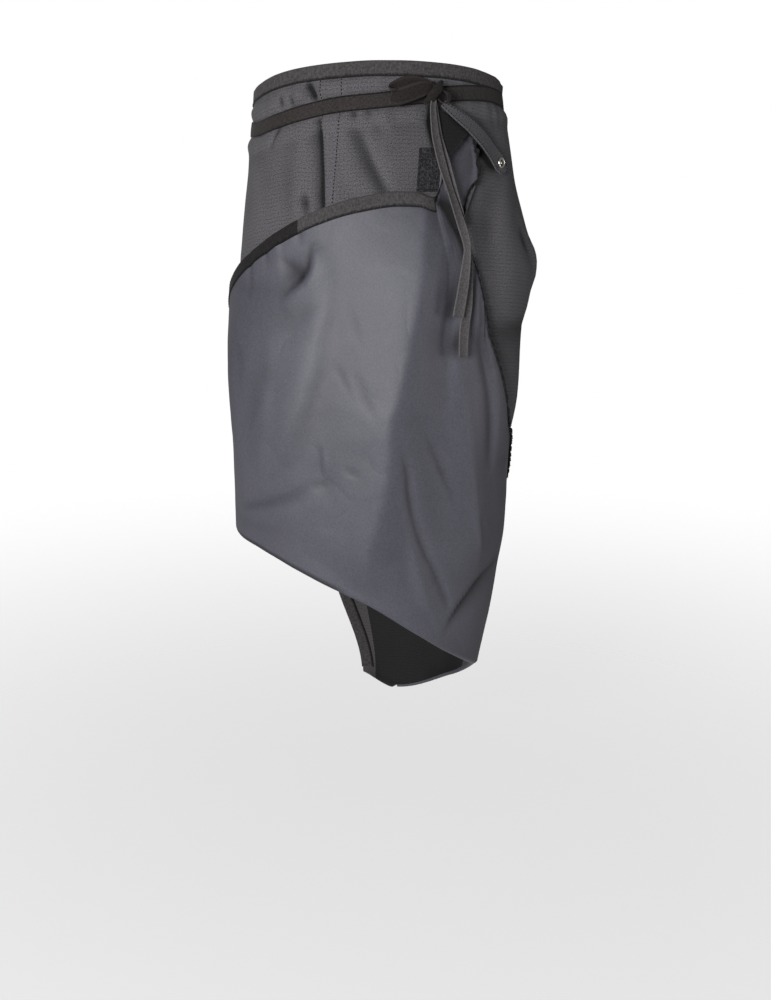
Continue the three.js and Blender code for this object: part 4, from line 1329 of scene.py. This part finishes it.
# Painted shade: places that lie in the shade of a tape, the tab or a fold count as so many millimetres
# deeper, and are painted darker
LAP_SHADES = (
    bend_line((19.2, -116, 3, 6, 4), (21.8, -122, 4, 8, 6), (24.3, -129, 4, 10, 8),
              (26.5, -142, 5, 11, 9), (28.3, -154, 5, 11, 9), (29.9, -169, 6, 9, 8),
              (29.6, -183, 6, 8, 5), (28, -194, 5, 6, 0)),
    bend_line((26.6, -190, 6, 7, 1), (24.8, -222, 7, 8, 4), (24.2, -248, 8, 8, 5),
              (23.8, -262, 7, 7, 0)),
    bend_line((29.6, -256, 6, 6, 1), (29.3, -276, 7, 7, 4), (28.2, -294, 7, 7, 4),
              (27.6, -306, 6, 6, 0)),
    bend_line((18.2, -118, 3, 24, 0.8), (16.8, -140, 3, 30, 1.5), (14.6, -163, 4, 36, 1.6),
              (12.6, -186, 4, 38, 1.4), (11.2, -218, 5, 38, 0.9), (10, -253, 6, 30, 0)),
    bend_line((-26.8, -172, 8, 2, 0.5), (-27, -184, 20, 2, 2.4), (-28, -200, 28, 3, 3.4),
              (-31.5, -213, 30, 4, 3.2), (-36.5, -224, 22, 6, 2.2), (-43, -232, 12, 8, 0)),
    bend_line((-49.5, -255, 8, 8, 0), (-46, -280, 12, 9, 0.9), (-43.4, -310, 16, 7, 1.5),
              (-44, -335, 16, 7, 1.5), (-47, -370, 14, 9, 1), (-54, -415, 10, 10, 0)),
    bend_line((-61, -262, 6, 6, 0), (-58, -290, 8, 6, 1), (-55, -318, 8, 6, 1.3), (-56, -360, 8, 8, 0)),
)
WRAP_SHADES = (
    bend_line((23, -6, 5, 7, 3), (22.4, -22, 5, 8, 4), (22.2, -36, 4, 8, 4), (22.4, -50, 3, 7, 3),
              (23, -66, 3, 6, 0)),
    bend_line((41, -38, 8, 6, 4), (43.5, -48, 10, 7, 6), (48.9, -63, 11, 7, 6), (53.8, -76, 11, 6, 5),
              (57, -86, 8, 5, 1)),
)

# Painted shade: the underside of the fold at the foot counts as deeper too, as far round as this
FOOT_SHADE = 6.0
FOOT_SHADE_TO = -4.0
FOOT_SHADE_FADE = 12.0

# Rounds of smoothing that find the fine and the broad hollows of the cloth for its painted shade, and the
# weight of each
HOLLOW_SCALES = ((6, 1.0), (36, 0.5))

# The corner turned down under the tab: its upper edge, its lower edge and how far both stand off
CORNER_FOLD = Table(
    "share angle z off low_angle low_z low_off",
    (0, 24.4, -13, 11, 23.6, -66, 15),
    (0.3, 27, -17, 11, 26.5, -65.5, 15.5),
    (0.6, 31, -25, 10.5, 30.5, -58, 14.5),
    (0.85, 35.5, -35, 9, 35.5, -48, 12),
    (1, 38.8, -42, 7.5, 38.8, -43, 8.5),
)
CORNER_ROLL = 0.9
CORNER_TUCK = 1.2
CORNER_COLUMNS = 36
CORNER_ROWS = 30


class APRON_OT_cloth(bpy.types.Operator):
    """Makes the one sheet of cloth: the wrap, the soft fold at its foot and the part turned up"""

    bl_idname = "apron.cloth"
    bl_label = "Cloth"

    def execute(self, context):
        sizes = context.scene.apron_sizes
        rows = LAP_ROWS + FOLD_ROWS + WRAP_ROWS
        bm = grid_mesh(COLUMNS, rows, lambda u, v: self.place(u, v, rows))
        # Painted shade: how deep each place lies, with the shade lines added, darkens its colour in the
        # finishes
        layer = bm.verts.layers.float.new("hollow")
        for vert in bm.verts:
            vert[layer] = self.hollow[vert.index]
        for face in bm.faces:
            first = min(v.index for v in face.verts)
            if first in self.faced:
                face.material_index = FACING_FINISH
            if first in self.edged:
                face.material_index = EDGE_FINISH
        finishes = []
        for inner in ("grey coating", "black facing", "edge facing"):
            finishes += [finish_of("black ripstop"), finish_of(inner)]
        loose = [v for v in bm.verts if v.index in self.past_lap]
        bmesh.ops.delete(bm, geom=loose, context="VERTS")
        piece = add_piece(bm, "cloth_sheet", finishes, ["apron_cloth"], sizes.cloth_wall, inside=1)
        corner = self.corner(sizes)
        return {"FINISHED"}

    def hollows(self, grid):
        """How far each place lies below the cloth round it, in millimetres, which darkens it as painted
        shade.
        """
        outs = unit(grid * (1, 1, 0))
        hollow = 0
        for rounds, share in HOLLOW_SCALES:
            soft = grid
            for _ in range(rounds):
                for axis in (0, 1):
                    last = soft.shape[axis] - 1
                    before = np.take(soft, np.clip(np.arange(last + 1) - 1, 0, last), axis)
                    after = np.take(soft, np.clip(np.arange(last + 1) + 1, 0, last), axis)
                    soft = (before + 2 * soft + after) / 4
            hollow = hollow + share * ((soft - grid) * outs).sum(-1) / MM
        return hollow

    def corner(self, sizes):
        """The gathered corner, turned down over the lap under the tab."""

        def place(u, v):
            angle = mix(CORNER_FOLD.at(u, "angle"), CORNER_FOLD.at(u, "low_angle"), v)
            z = mix(CORNER_FOLD.at(u, "z"), CORNER_FOLD.at(u, "low_z"), v)
            off = mix(CORNER_FOLD.at(u, "off"), CORNER_FOLD.at(u, "low_off"), smooth(v))
            roll = smooth((v - CORNER_ROLL) / (1 - CORNER_ROLL)) ** 2
            weave = np.stack([np.radians(angle) * WEAVE_RADIUS, z * MM], -1)
            return form(angle, z, off - CORNER_TUCK * roll), weave

        bm = grid_mesh(CORNER_COLUMNS, CORNER_ROWS, place)
        # Painted shade: the turned corner takes the dark facing so that it reads as lying in the tab's
        # shade
        return add_piece(bm, "turned_corner", [finish_of("black facing")], (), sizes.cloth_wall)

    def place(self, u, v, rows):
        """Places the whole grid, and notes its linings, its hollows and the part past the lap's end."""
        column = np.rint(u * COLUMNS).astype(int)
        row = np.rint(v * rows).astype(int)
        angle = COLUMN_ANGLES.at(u, "angle")
        foot_row = LAP_ROWS + FOLD_ROWS
        rise = np.clip(1 - row / LAP_ROWS, 0, 1)
        turn = np.pi * np.clip(1 - (row - LAP_ROWS) / FOLD_ROWS, 0, 1)
        down = WRAP_DROPS.at(np.clip((rows - row) / WRAP_ROWS, 0, 1), "down")
        has_lap = angle <= LAP_END + TINY_ANGLE
        foot = FOOT.at(angle, "z") + np.where(has_lap, FOLD_WIDTH / 2, 0)
        z = mix(WAIST.at(angle, "top"), foot, down)
        wrap = row >= foot_row
        lap = row <= LAP_ROWS
        points = np.where(wrap[:, None], wrap_at(angle, z), fold_at(angle, turn))
        points = np.where(lap[:, None], lap_at(angle, rise), points)
        self.past_lap = set(np.flatnonzero(~has_lap & ~wrap))
        self.faced = set(np.flatnonzero((angle > FACING_FROM) & (angle < FACING_TO) & wrap))
        self.edged = set(np.flatnonzero((angle >= FACING_TO) & wrap))
        grid = np.zeros((COLUMNS + 1, rows + 1, 3))
        grid[column, row] = points
        steps = np.linalg.norm(np.diff(grid, axis=1), axis=2)
        run = np.concatenate([np.zeros((COLUMNS + 1, 1)), np.cumsum(steps, axis=1)], axis=1)
        along = run[column, -1] - run[column, row]
        # Painted shade from the shade lines and under the fold at the foot
        shade = bend_height(LAP_SHADES, swell, *lap_place(angle, rise)) * lap
        shade = shade + bend_height(WRAP_SHADES, swell, angle, z) * wrap
        under = (row >= LAP_ROWS) & (row <= foot_row) & has_lap
        shade = shade + FOOT_SHADE * under * smooth((FOOT_SHADE_TO - angle) / FOOT_SHADE_FADE)
        self.hollow = self.hollows(grid)[column, row] + shade
        return points, np.stack([np.radians(angle) * WEAVE_RADIUS, -along], -1)


# The bound edges: how finely each is followed, how far in its ends stop, and how far inside a side edge
# the direction across it is taken from
WAIST_STEPS = 300
WAIST_INSET = 0.6
LAP_STEPS = 260
LAP_INSET = 1
SIDE_STEPS = 120
SIDE_REACH = 8
SIDE_BELOW_WAIST = 17.5
SIDE_ABOVE_FOOT = 8

# The rise over which the slope of the lap's edge is measured, and the most of the lap that is bound
EDGE_RISE = 0.06
MOST_BOUND = 0.6

# Past this place at the side the lap's tape is painted with shade, and every tape is sewn this far from its
# rim
DARK_TAPE_FROM = -0.105
BINDING_SEAM = 0.0011

# The hem of the lap: its stand-off, its wall, its seam, and the waves in which it is gathered
HEM_STEPS = 460
HEM_OFF = 0.0005
HEM_WALL = 0.0006
HEM_SEAM = 0.0012
HEM_SEAM_LIFT = 0.0004
PUCKER = 0.0014
PUCKER_PITCH = 0.012
PUCKER_DRIFT = 3


class Edge:
    """An edge of the cloth to be bound: its line, the way off the cloth across it, and the directions
    out of the cloth along it and along a line inside it."""

    def __init__(self, edge, inner, edge_out, inner_out):
        self.edge = edge
        self.edge_out = edge_out
        self.inner_out = inner_out
        self.back = unit(edge - inner)

    def mesh(self, offset, width, face_rows=4, turn_rows=6):
        """A strip folded over the edge, its middle this far off the cloth's."""
        steps = len(self.edge) - 1
        run = arc(self.edge)
        rows = 2 * face_rows + turn_rows

        def place(u, v):
            i = np.rint(v * steps).astype(int)
            row = np.rint(u * rows)
            share = np.clip(np.minimum(row, rows - row) / face_rows, 0, 1)[:, None]
            turn = np.pi * np.clip((row - face_rows) / turn_rows, 0, 1)
            out = unit(mix(self.inner_out[i], self.edge_out[i], share))
            points = mix(self.edge[i] - self.back[i] * width, self.edge[i], share)
            points = points + out * (offset * np.cos(turn))[:, None]
            points = points + self.back[i] * (offset * np.sin(turn))[:, None]
            return points, np.stack([u * 2 * width, run[i]], -1)

        return grid_mesh(rows, steps, place)

    def pucker(self):
        """Gathers the edge on its thread, in small uneven waves."""
        run = arc(self.edge) / PUCKER_PITCH
        uneven = noise_at(run / PUCKER_DRIFT, 0 * run, PUCKER_SEED)
        wave = np.sin(2 * np.pi * (run + uneven))
        rise = self.edge_out * (PUCKER * (1 + wave))[:, None]
        slip = self.back * (PUCKER * wave)[:, None]
        self.edge = self.edge + rise + slip

    def seam(self, from_inner, width, lift):
        """A line this far from the inner rim of the binding, and this high off the cloth."""
        share = from_inner / width
        out = unit(mix(self.inner_out, self.edge_out, share))
        base = mix(self.edge - self.back * width, self.edge, share)
        return base + out * lift, out


def waist_edge(width):
    """The top edge of the wrap."""
    angle = np.linspace(RIGHT_EDGE + WAIST_INSET, LEFT_EDGE - WAIST_INSET, WAIST_STEPS)
    top = WAIST.at(angle, "top")
    foot = top - width / MM
    return Edge(wrap_at(angle, top), wrap_at(angle, foot), outward(angle, top), outward(angle, foot))


def lap_edge(start, end, steps, width):
    """The free edge of the turned-up part, between these places on its fold."""
    fold = np.linspace(start, end, steps)
    full = np.ones_like(fold)
    edge = lap_at(fold, full)
    near = lap_at(fold, full - EDGE_RISE)
    reach = np.linalg.norm(edge - near, axis=1) / EDGE_RISE
    inner = lap_at(fold, 1 - np.minimum(MOST_BOUND, width / reach))
    out = outward(*lap_place(fold, full))
    return Edge(edge, inner, out, out)


def side_edge(angle, inner):
    """An upright edge of the wrap, and a line inside it."""
    top = WAIST.at(np.array([angle]), "top")[0] - SIDE_BELOW_WAIST
    foot = FOOT.at(np.array([angle]), "z")[0] + SIDE_ABOVE_FOOT
    z = np.linspace(top, foot, SIDE_STEPS)
    a = np.full_like(z, angle)
    b = np.full_like(z, inner)
    return Edge(wrap_at(a, z), wrap_at(b, z), outward(a, z), outward(b, z))


class APRON_OT_bindings(bpy.types.Operator):
    """Makes the tapes folded over the edges of the cloth, the hem of the lap, and their stitches"""

    bl_idname = "apron.bindings"
    bl_label = "Bindings"

    def execute(self, context):
        sizes = context.scene.apron_sizes
        width = sizes.binding_width
        middle = sizes.cloth_wall / 2 + sizes.clearance + sizes.binding_wall / 2
        lift = middle + sizes.binding_wall / 2
        lap = lap_edge(RIGHT_EDGE + LAP_INSET, BOUND_EDGE_END, LAP_STEPS, width)
        right = side_edge(RIGHT_EDGE, RIGHT_EDGE + SIDE_REACH)
        left = side_edge(LEFT_EDGE, LEFT_EDGE - SIDE_REACH)
        edges = (
            ("waist_tape", waist_edge(width), "waist_binding", "woven tape"),
            ("lap_tape", lap, "lap_binding", "woven tape"),
            ("right_edge_tape", right, "right_edge_binding", "side tape"),
            ("left_edge_tape", left, "left_edge_binding", "side tape"),
        )
        stitches = bmesh.new()
        for name, edge, solid, tape in edges:
            bm = edge.mesh(middle, width)
            for face in bm.faces:
                spot = face.calc_center_median()
                # Painted shade: the lap's tape at the side and behind takes the darker shaded tape
                face.material_index = int(edge is lap and (spot.x < DARK_TAPE_FROM or spot.y > 0))
            finishes = [finish_of(tape), finish_of("shaded tape")]
            add_piece(bm, name, finishes, [solid], sizes.binding_wall)
            for side in (1, -1):
                line, out = edge.seam(BINDING_SEAM, width, side * lift)
                stitch_row(stitches, line, out, sizes)
        self.hem(sizes, stitches)
        add_piece(stitches, "binding_stitches", [finish_of("sewing thread")])
        return {"FINISHED"}

    def hem(self, sizes, stitches):
        """The narrow gathered hem, from the end of the lap's tape on."""
        width = sizes.hem_width
        edge = lap_edge(BOUND_EDGE_END, LAP_END - LAP_INSET, HEM_STEPS, width)
        edge.pucker()
        off = sizes.cloth_wall / 2 + HEM_OFF
        # Painted shadow: the hem takes the shaded tape, dark for the shadow along the lap's edge
        add_piece(edge.mesh(off, width), "lap_hem", [finish_of("shaded tape")], (), HEM_WALL)
        line, out = edge.seam(HEM_SEAM, width, off + HEM_SEAM_LIFT)
        stitch_row(stitches, line, out, sizes)


# The rows of stitches down the front of the wrap
DART_STEPS = 120
DART_THREAD = 0.0008
DARTS = (
    Table("z angle", (23, -26), (-4, -25.1), (-27, -24.7), (-72, -23.9), (-123, -23.3)),
    Table("z angle", (21, -16), (-4, -15.8), (-18, -16.5), (-61, -17.8), (-95, -19), (-123, -19.9)),
)


class APRON_OT_darts(bpy.types.Operator):
    """Makes the two rows of stitches that shape the front of the wrap"""

    bl_idname = "apron.darts"
    bl_label = "Dart stitches"

    def execute(self, context):
        sizes = context.scene.apron_sizes
        stitches = bmesh.new()
        for dart in DARTS:
            z = np.linspace(dart.z[0], dart.z[-1], DART_STEPS)
            angle = dart.at(z, "angle")
            line = wrap_at(angle, z, sizes.cloth_wall / 2 / MM)
            stitch_row(stitches, line, outward(angle, z), sizes, DART_THREAD)
        add_piece(stitches, "dart_stitches", [finish_of("sewing thread")])
        return {"FINISHED"}


# The tie: its grid, how far it stands off and bulges, the radius of its weave, and how near its ends join
TIE_STEPS = 260
TIE_COLUMNS = 8
TIE_OFF = 0.0003
TIE_BULGE = 0.0004
TIE_RADIUS = 0.14
TIE_JOIN = 1e-5


class APRON_OT_tie(bpy.types.Operator):
    """Makes the one turn of tape round the waist"""

    bl_idname = "apron.tie"
    bl_label = "Waist tie"

    def execute(self, context):
        sizes = context.scene.apron_sizes

        def place(u, v):
            angle = mix(LEFT_EDGE - 360, LEFT_EDGE, v)
            across = (u - 0.5) * sizes.tie_width
            z = WAIST.at(angle, "tie") + (u - 0.5) * sizes.tie_width / MM
            bulge = TIE_BULGE * (1 - 4 * (u - 0.5) ** 2)
            points = form(angle, z, (TIE_OFF + bulge) / MM)
            return points, np.stack([across, np.radians(angle) * TIE_RADIUS], -1)

        bm = grid_mesh(TIE_COLUMNS, TIE_STEPS, place)
        bmesh.ops.reverse_faces(bm, faces=bm.faces)
        bmesh.ops.remove_doubles(bm, verts=bm.verts, dist=TIE_JOIN)
        add_piece(bm, "waist_tape_tie", [finish_of("tie tape")], ["waist_tie"], sizes.tape_wall)
        return {"FINISHED"}


# The tapes of the bow: how many steps and columns each has, and how far it is cupped
LOOP_GRID = (72, 8)
LOOP_CUP = 0.0008
SMALL_LOOP_GRID = (60, 6)
SMALL_LOOP_CUP = 0.0005
KNOT_TURN_GRID = (48, 8)
KNOT_TURN_CUP = -0.0012
KNOT_SIDES = 40
KNOT_RINGS = 28


class APRON_OT_bow(bpy.types.Operator):
    """Makes the knot, the turn of tape over it and the two loops of the bow"""

    bl_idname = "apron.bow"
    bl_label = "Bow"

    def execute(self, context):
        sizes = context.scene.apron_sizes
        tape = [finish_of("bow tape")]
        strips = (
            ("large_loop", LOOP_ROUTE, LOOP_GRID, sizes.loop_width, LOOP_CUP, ["bow_loop"]),
            ("small_loop", SMALL_LOOP_ROUTE, SMALL_LOOP_GRID, sizes.small_loop_width, SMALL_LOOP_CUP,
             ["bow_loop_small"]),
            ("knot_turn", KNOT_TURN_ROUTE, KNOT_TURN_GRID, sizes.knot_turn_width, KNOT_TURN_CUP, ()),
        )
        for name, route, (steps, columns), width, cup, nodes in strips:
            strip = Strip(route, steps, ring=route is SMALL_LOOP_ROUTE)
            add_piece(strip.mesh(width, columns, cup), name, tape, nodes, sizes.tape_wall)
        self.knot(tape)
        return {"FINISHED"}

    def knot(self, tape):
        """A rounded knot with twisted pleats."""
        bm = bmesh.new()
        bmesh.ops.create_uvsphere(bm, u_segments=KNOT_SIDES, v_segments=KNOT_RINGS, radius=1.0)
        for vert in bm.verts:
            turn = math.atan2(vert.co.y, vert.co.x)
            pinch = abs(math.sin(KNOT_PLEATS * turn + KNOT_TWIST * vert.co.z))
            crease = 1 - KNOT_PLEAT_DEPTH * (1 - pinch) ** 2
            vert.co = Vector([c * r * crease for c, r in zip(vert.co, KNOT_RADII)]) * MM
        for face in bm.faces:
            face.smooth = True
        place = seat(KNOT_ANGLE, KNOT_Z, KNOT_OFF, upright=True)
        bmesh.ops.transform(bm, matrix=place, verts=bm.verts)
        bm.loops.layers.uv.new("weave")
        add_piece(bm, "bow_knot", tape, ["tie_knot"])


def seat(angle, z, off, upright):
    """Where a small piece sits: its Z points out of the cloth, or up where it is upright."""
    out = outward(np.array(angle, float), np.array(z, float))
    side = np.cross(UP, out)
    middle = form(np.array(angle, float), np.array(z, float), off)
    axes = (side, -out, UP) if upright else (side, UP, out)
    turn = Matrix([Vector(a) for a in axes]).transposed()
    return Matrix.Translation(Vector(middle)) @ turn.to_4x4()


# The patch: its stand-off and the height of its pile in millimetres, its grid and its weave in metres
PATCH_LIFT = 0.26
PATCH_GRID = (64, 88)
PATCH_WEAVE = (0.033, 0.05)
PILE_HEIGHT = 0.25
PILE_SCALE = 40

# Its size and the rim over which its pile falls away, in millimetres, and its seam as a share in from there
PATCH_WIDTH = 30
PATCH_LENGTH = 48
PILE_RIM = 3
PATCH_SEAM = 0.05
PATCH_SEAM_STEPS = 40


class APRON_OT_patch(bpy.types.Operator):
    """Makes the oblong of hook-and-loop sewn on the wrap, and its stitches"""

    bl_idname = "apron.patch"
    bl_label = "Fastening patch"

    def execute(self, context):
        sizes = context.scene.apron_sizes
        off = (sizes.cloth_wall / 2 + sizes.clearance + sizes.patch_wall / 2) / MM + PATCH_LIFT
        pile = [finish_of("fastening pile")]

        def spot(u, v, lift):
            angle = mix(PATCH_FROM, PATCH_TO, u) + PATCH_SLANT * (0.5 - v)
            z = mix(PATCH_FOOT, PATCH_TOP, v)
            return wrap_at(angle, z, off + lift)

        def place(u, v):
            rim = np.minimum(np.minimum(u, 1 - u) * PATCH_WIDTH, np.minimum(v, 1 - v) * PATCH_LENGTH)
            uneven = noise_at(u * PILE_SCALE, v * PILE_SCALE, PILE_SEED)
            height = PILE_HEIGHT * uneven * smooth(rim / PILE_RIM)
            return spot(u, v, height), np.stack([u * PATCH_WEAVE[0], v * PATCH_WEAVE[1]], -1)

        bm = grid_mesh(*PATCH_GRID, place)
        add_piece(bm, "hook_patch", pile, ["fastening_patch"], sizes.patch_wall)
        stitches = bmesh.new()
        share = np.linspace(0, 1, PATCH_SEAM_STEPS)
        sides = [np.full_like(share, PATCH_SEAM), np.full_like(share, 1 - PATCH_SEAM)]
        for u, v in [(side, share) for side in sides] + [(share, side) for side in sides]:
            line = spot(u, v, sizes.patch_wall / 2 / MM)
            out = outward(mix(PATCH_FROM, PATCH_TO, u), mix(PATCH_FOOT, PATCH_TOP, v))
            stitch_row(stitches, line, out, sizes)
        add_piece(stitches, "patch_stitches", [finish_of("sewing thread")])
        return {"FINISHED"}


# The tab: its grid, and how far from its rims it is sewn
TAB_STEPS = 80
TAB_COLUMNS = 10
TAB_SEAM = 0.002


class APRON_OT_tab(bpy.types.Operator):
    """Makes the tab that holds up the corner, and its stitches"""

    bl_idname = "apron.tab"
    bl_label = "Hip tab"

    def execute(self, context):
        sizes = context.scene.apron_sizes
        strip = Strip(TAB_ROUTE, TAB_STEPS)
        bm = strip.mesh(sizes.tab_width, TAB_COLUMNS)
        add_piece(bm, "tab_strap", [finish_of("black ripstop")], ["hip_tab"], sizes.tab_wall)
        stitches = bmesh.new()
        for side in (1, -1):
            reach = side * (sizes.tab_width / 2 * strip.share - TAB_SEAM)
            line = strip.middle + strip.across * reach[:, None] + strip.face * (sizes.tab_wall / 2)
            stitch_row(stitches, line, strip.face, sizes)
        add_piece(stitches, "tab_stitches", [finish_of("sewing thread")])
        return {"FINISHED"}


# The stud's half outline, from the middle of its back to the middle of its face
STUD_OUTLINE = Table(
    "radius height",
    (0, -2.85),
    (4.6, -2.85),
    (5, -2.4),
    (5, -1.65),
    (2.6, -1.65),
    (2.6, 1.65),
    (6.6, 1.65),
    (6.6, 2.4),
    (6, 3.3),
    (5.1, 3.55),
    (4.3, 3.2),
    (3.9, 2.2),
    (2, 2),
    (1.5, 2.6),
    (0, 2.8),
)
STUD_SIDES = 36
STUD_JOIN = 1e-6

# Painted shade: the darkened hollow of its face lies between these two radii
STUD_POST = 1.5
STUD_HOLLOW = 4.0


class APRON_OT_stud(bpy.types.Operator):
    """Makes the plain ring stud in the end of the tab"""

    bl_idname = "apron.stud"
    bl_label = "Snap stud"

    def execute(self, context):
        bm = bmesh.new()
        last = None
        for radius, height in zip(STUD_OUTLINE.radius, STUD_OUTLINE.height):
            vert = bm.verts.new((radius * MM, 0, height * MM))
            if last:
                bm.edges.new((last, vert))
            last = vert
        outline = [*bm.verts, *bm.edges]
        bmesh.ops.spin(
            bm, geom=outline, cent=(0, 0, 0), axis=(0, 0, 1),
            angle=math.tau, steps=STUD_SIDES, use_merge=True,
        )
        bmesh.ops.remove_doubles(bm, verts=bm.verts, dist=STUD_JOIN)
        bmesh.ops.recalc_face_normals(bm, faces=bm.faces)
        for face in bm.faces:
            face.smooth = True
            middle = face.calc_center_median()
            # Painted shade in the hollow of the stud's face
            if middle.z > 0 and STUD_POST < middle.xy.length / MM < STUD_HOLLOW:
                face.material_index = 1
        place = seat(STUD_ANGLE, STUD_Z, STUD_OFF, upright=False)
        bmesh.ops.transform(bm, matrix=place, verts=bm.verts)
        finishes = [finish_of("stud metal"), finish_of("dulled metal")]
        add_piece(bm, "ring_stud", finishes, ["snap_stud"])
        return {"FINISHED"}


STEPS = (
    APRON_OT_stage,
    APRON_OT_tails,
    APRON_OT_cloth,
    APRON_OT_bindings,
    APRON_OT_darts,
    APRON_OT_tie,
    APRON_OT_bow,
    APRON_OT_patch,
    APRON_OT_tab,
    APRON_OT_stud,
)


class APRON_PT_panel(bpy.types.Panel):
    """Lists the apron's pieces in the order they are made"""

    bl_idname = "APRON_PT_panel"
    bl_label = "Driving apron"
    bl_space_type = "VIEW_3D"
    bl_region_type = "UI"
    bl_category = "Apron"

    def draw(self, context):
        for step in STEPS:
            self.layout.operator(step.bl_idname)
        for group in (context.scene.apron_sizes, context.scene.apron_colours):
            for name in group.__annotations__:
                self.layout.prop(group, name)


CLASSES = (ApronSizes, ApronColours, *STEPS, APRON_PT_panel)


def register():
    for made in CLASSES:
        bpy.utils.register_class(made)
    bpy.types.Scene.apron_sizes = bpy.props.PointerProperty(type=ApronSizes)
    bpy.types.Scene.apron_colours = bpy.props.PointerProperty(type=ApronColours)


def unregister():
    del bpy.types.Scene.apron_colours
    del bpy.types.Scene.apron_sizes
    for made in reversed(CLASSES):
        bpy.utils.unregister_class(made)


def main():
    """Makes every piece in order."""
    register()
    for step in STEPS:
        area, name = step.bl_idname.split(".")
        getattr(getattr(bpy.ops, area), name)()


if __name__ == "__main__":
    main()
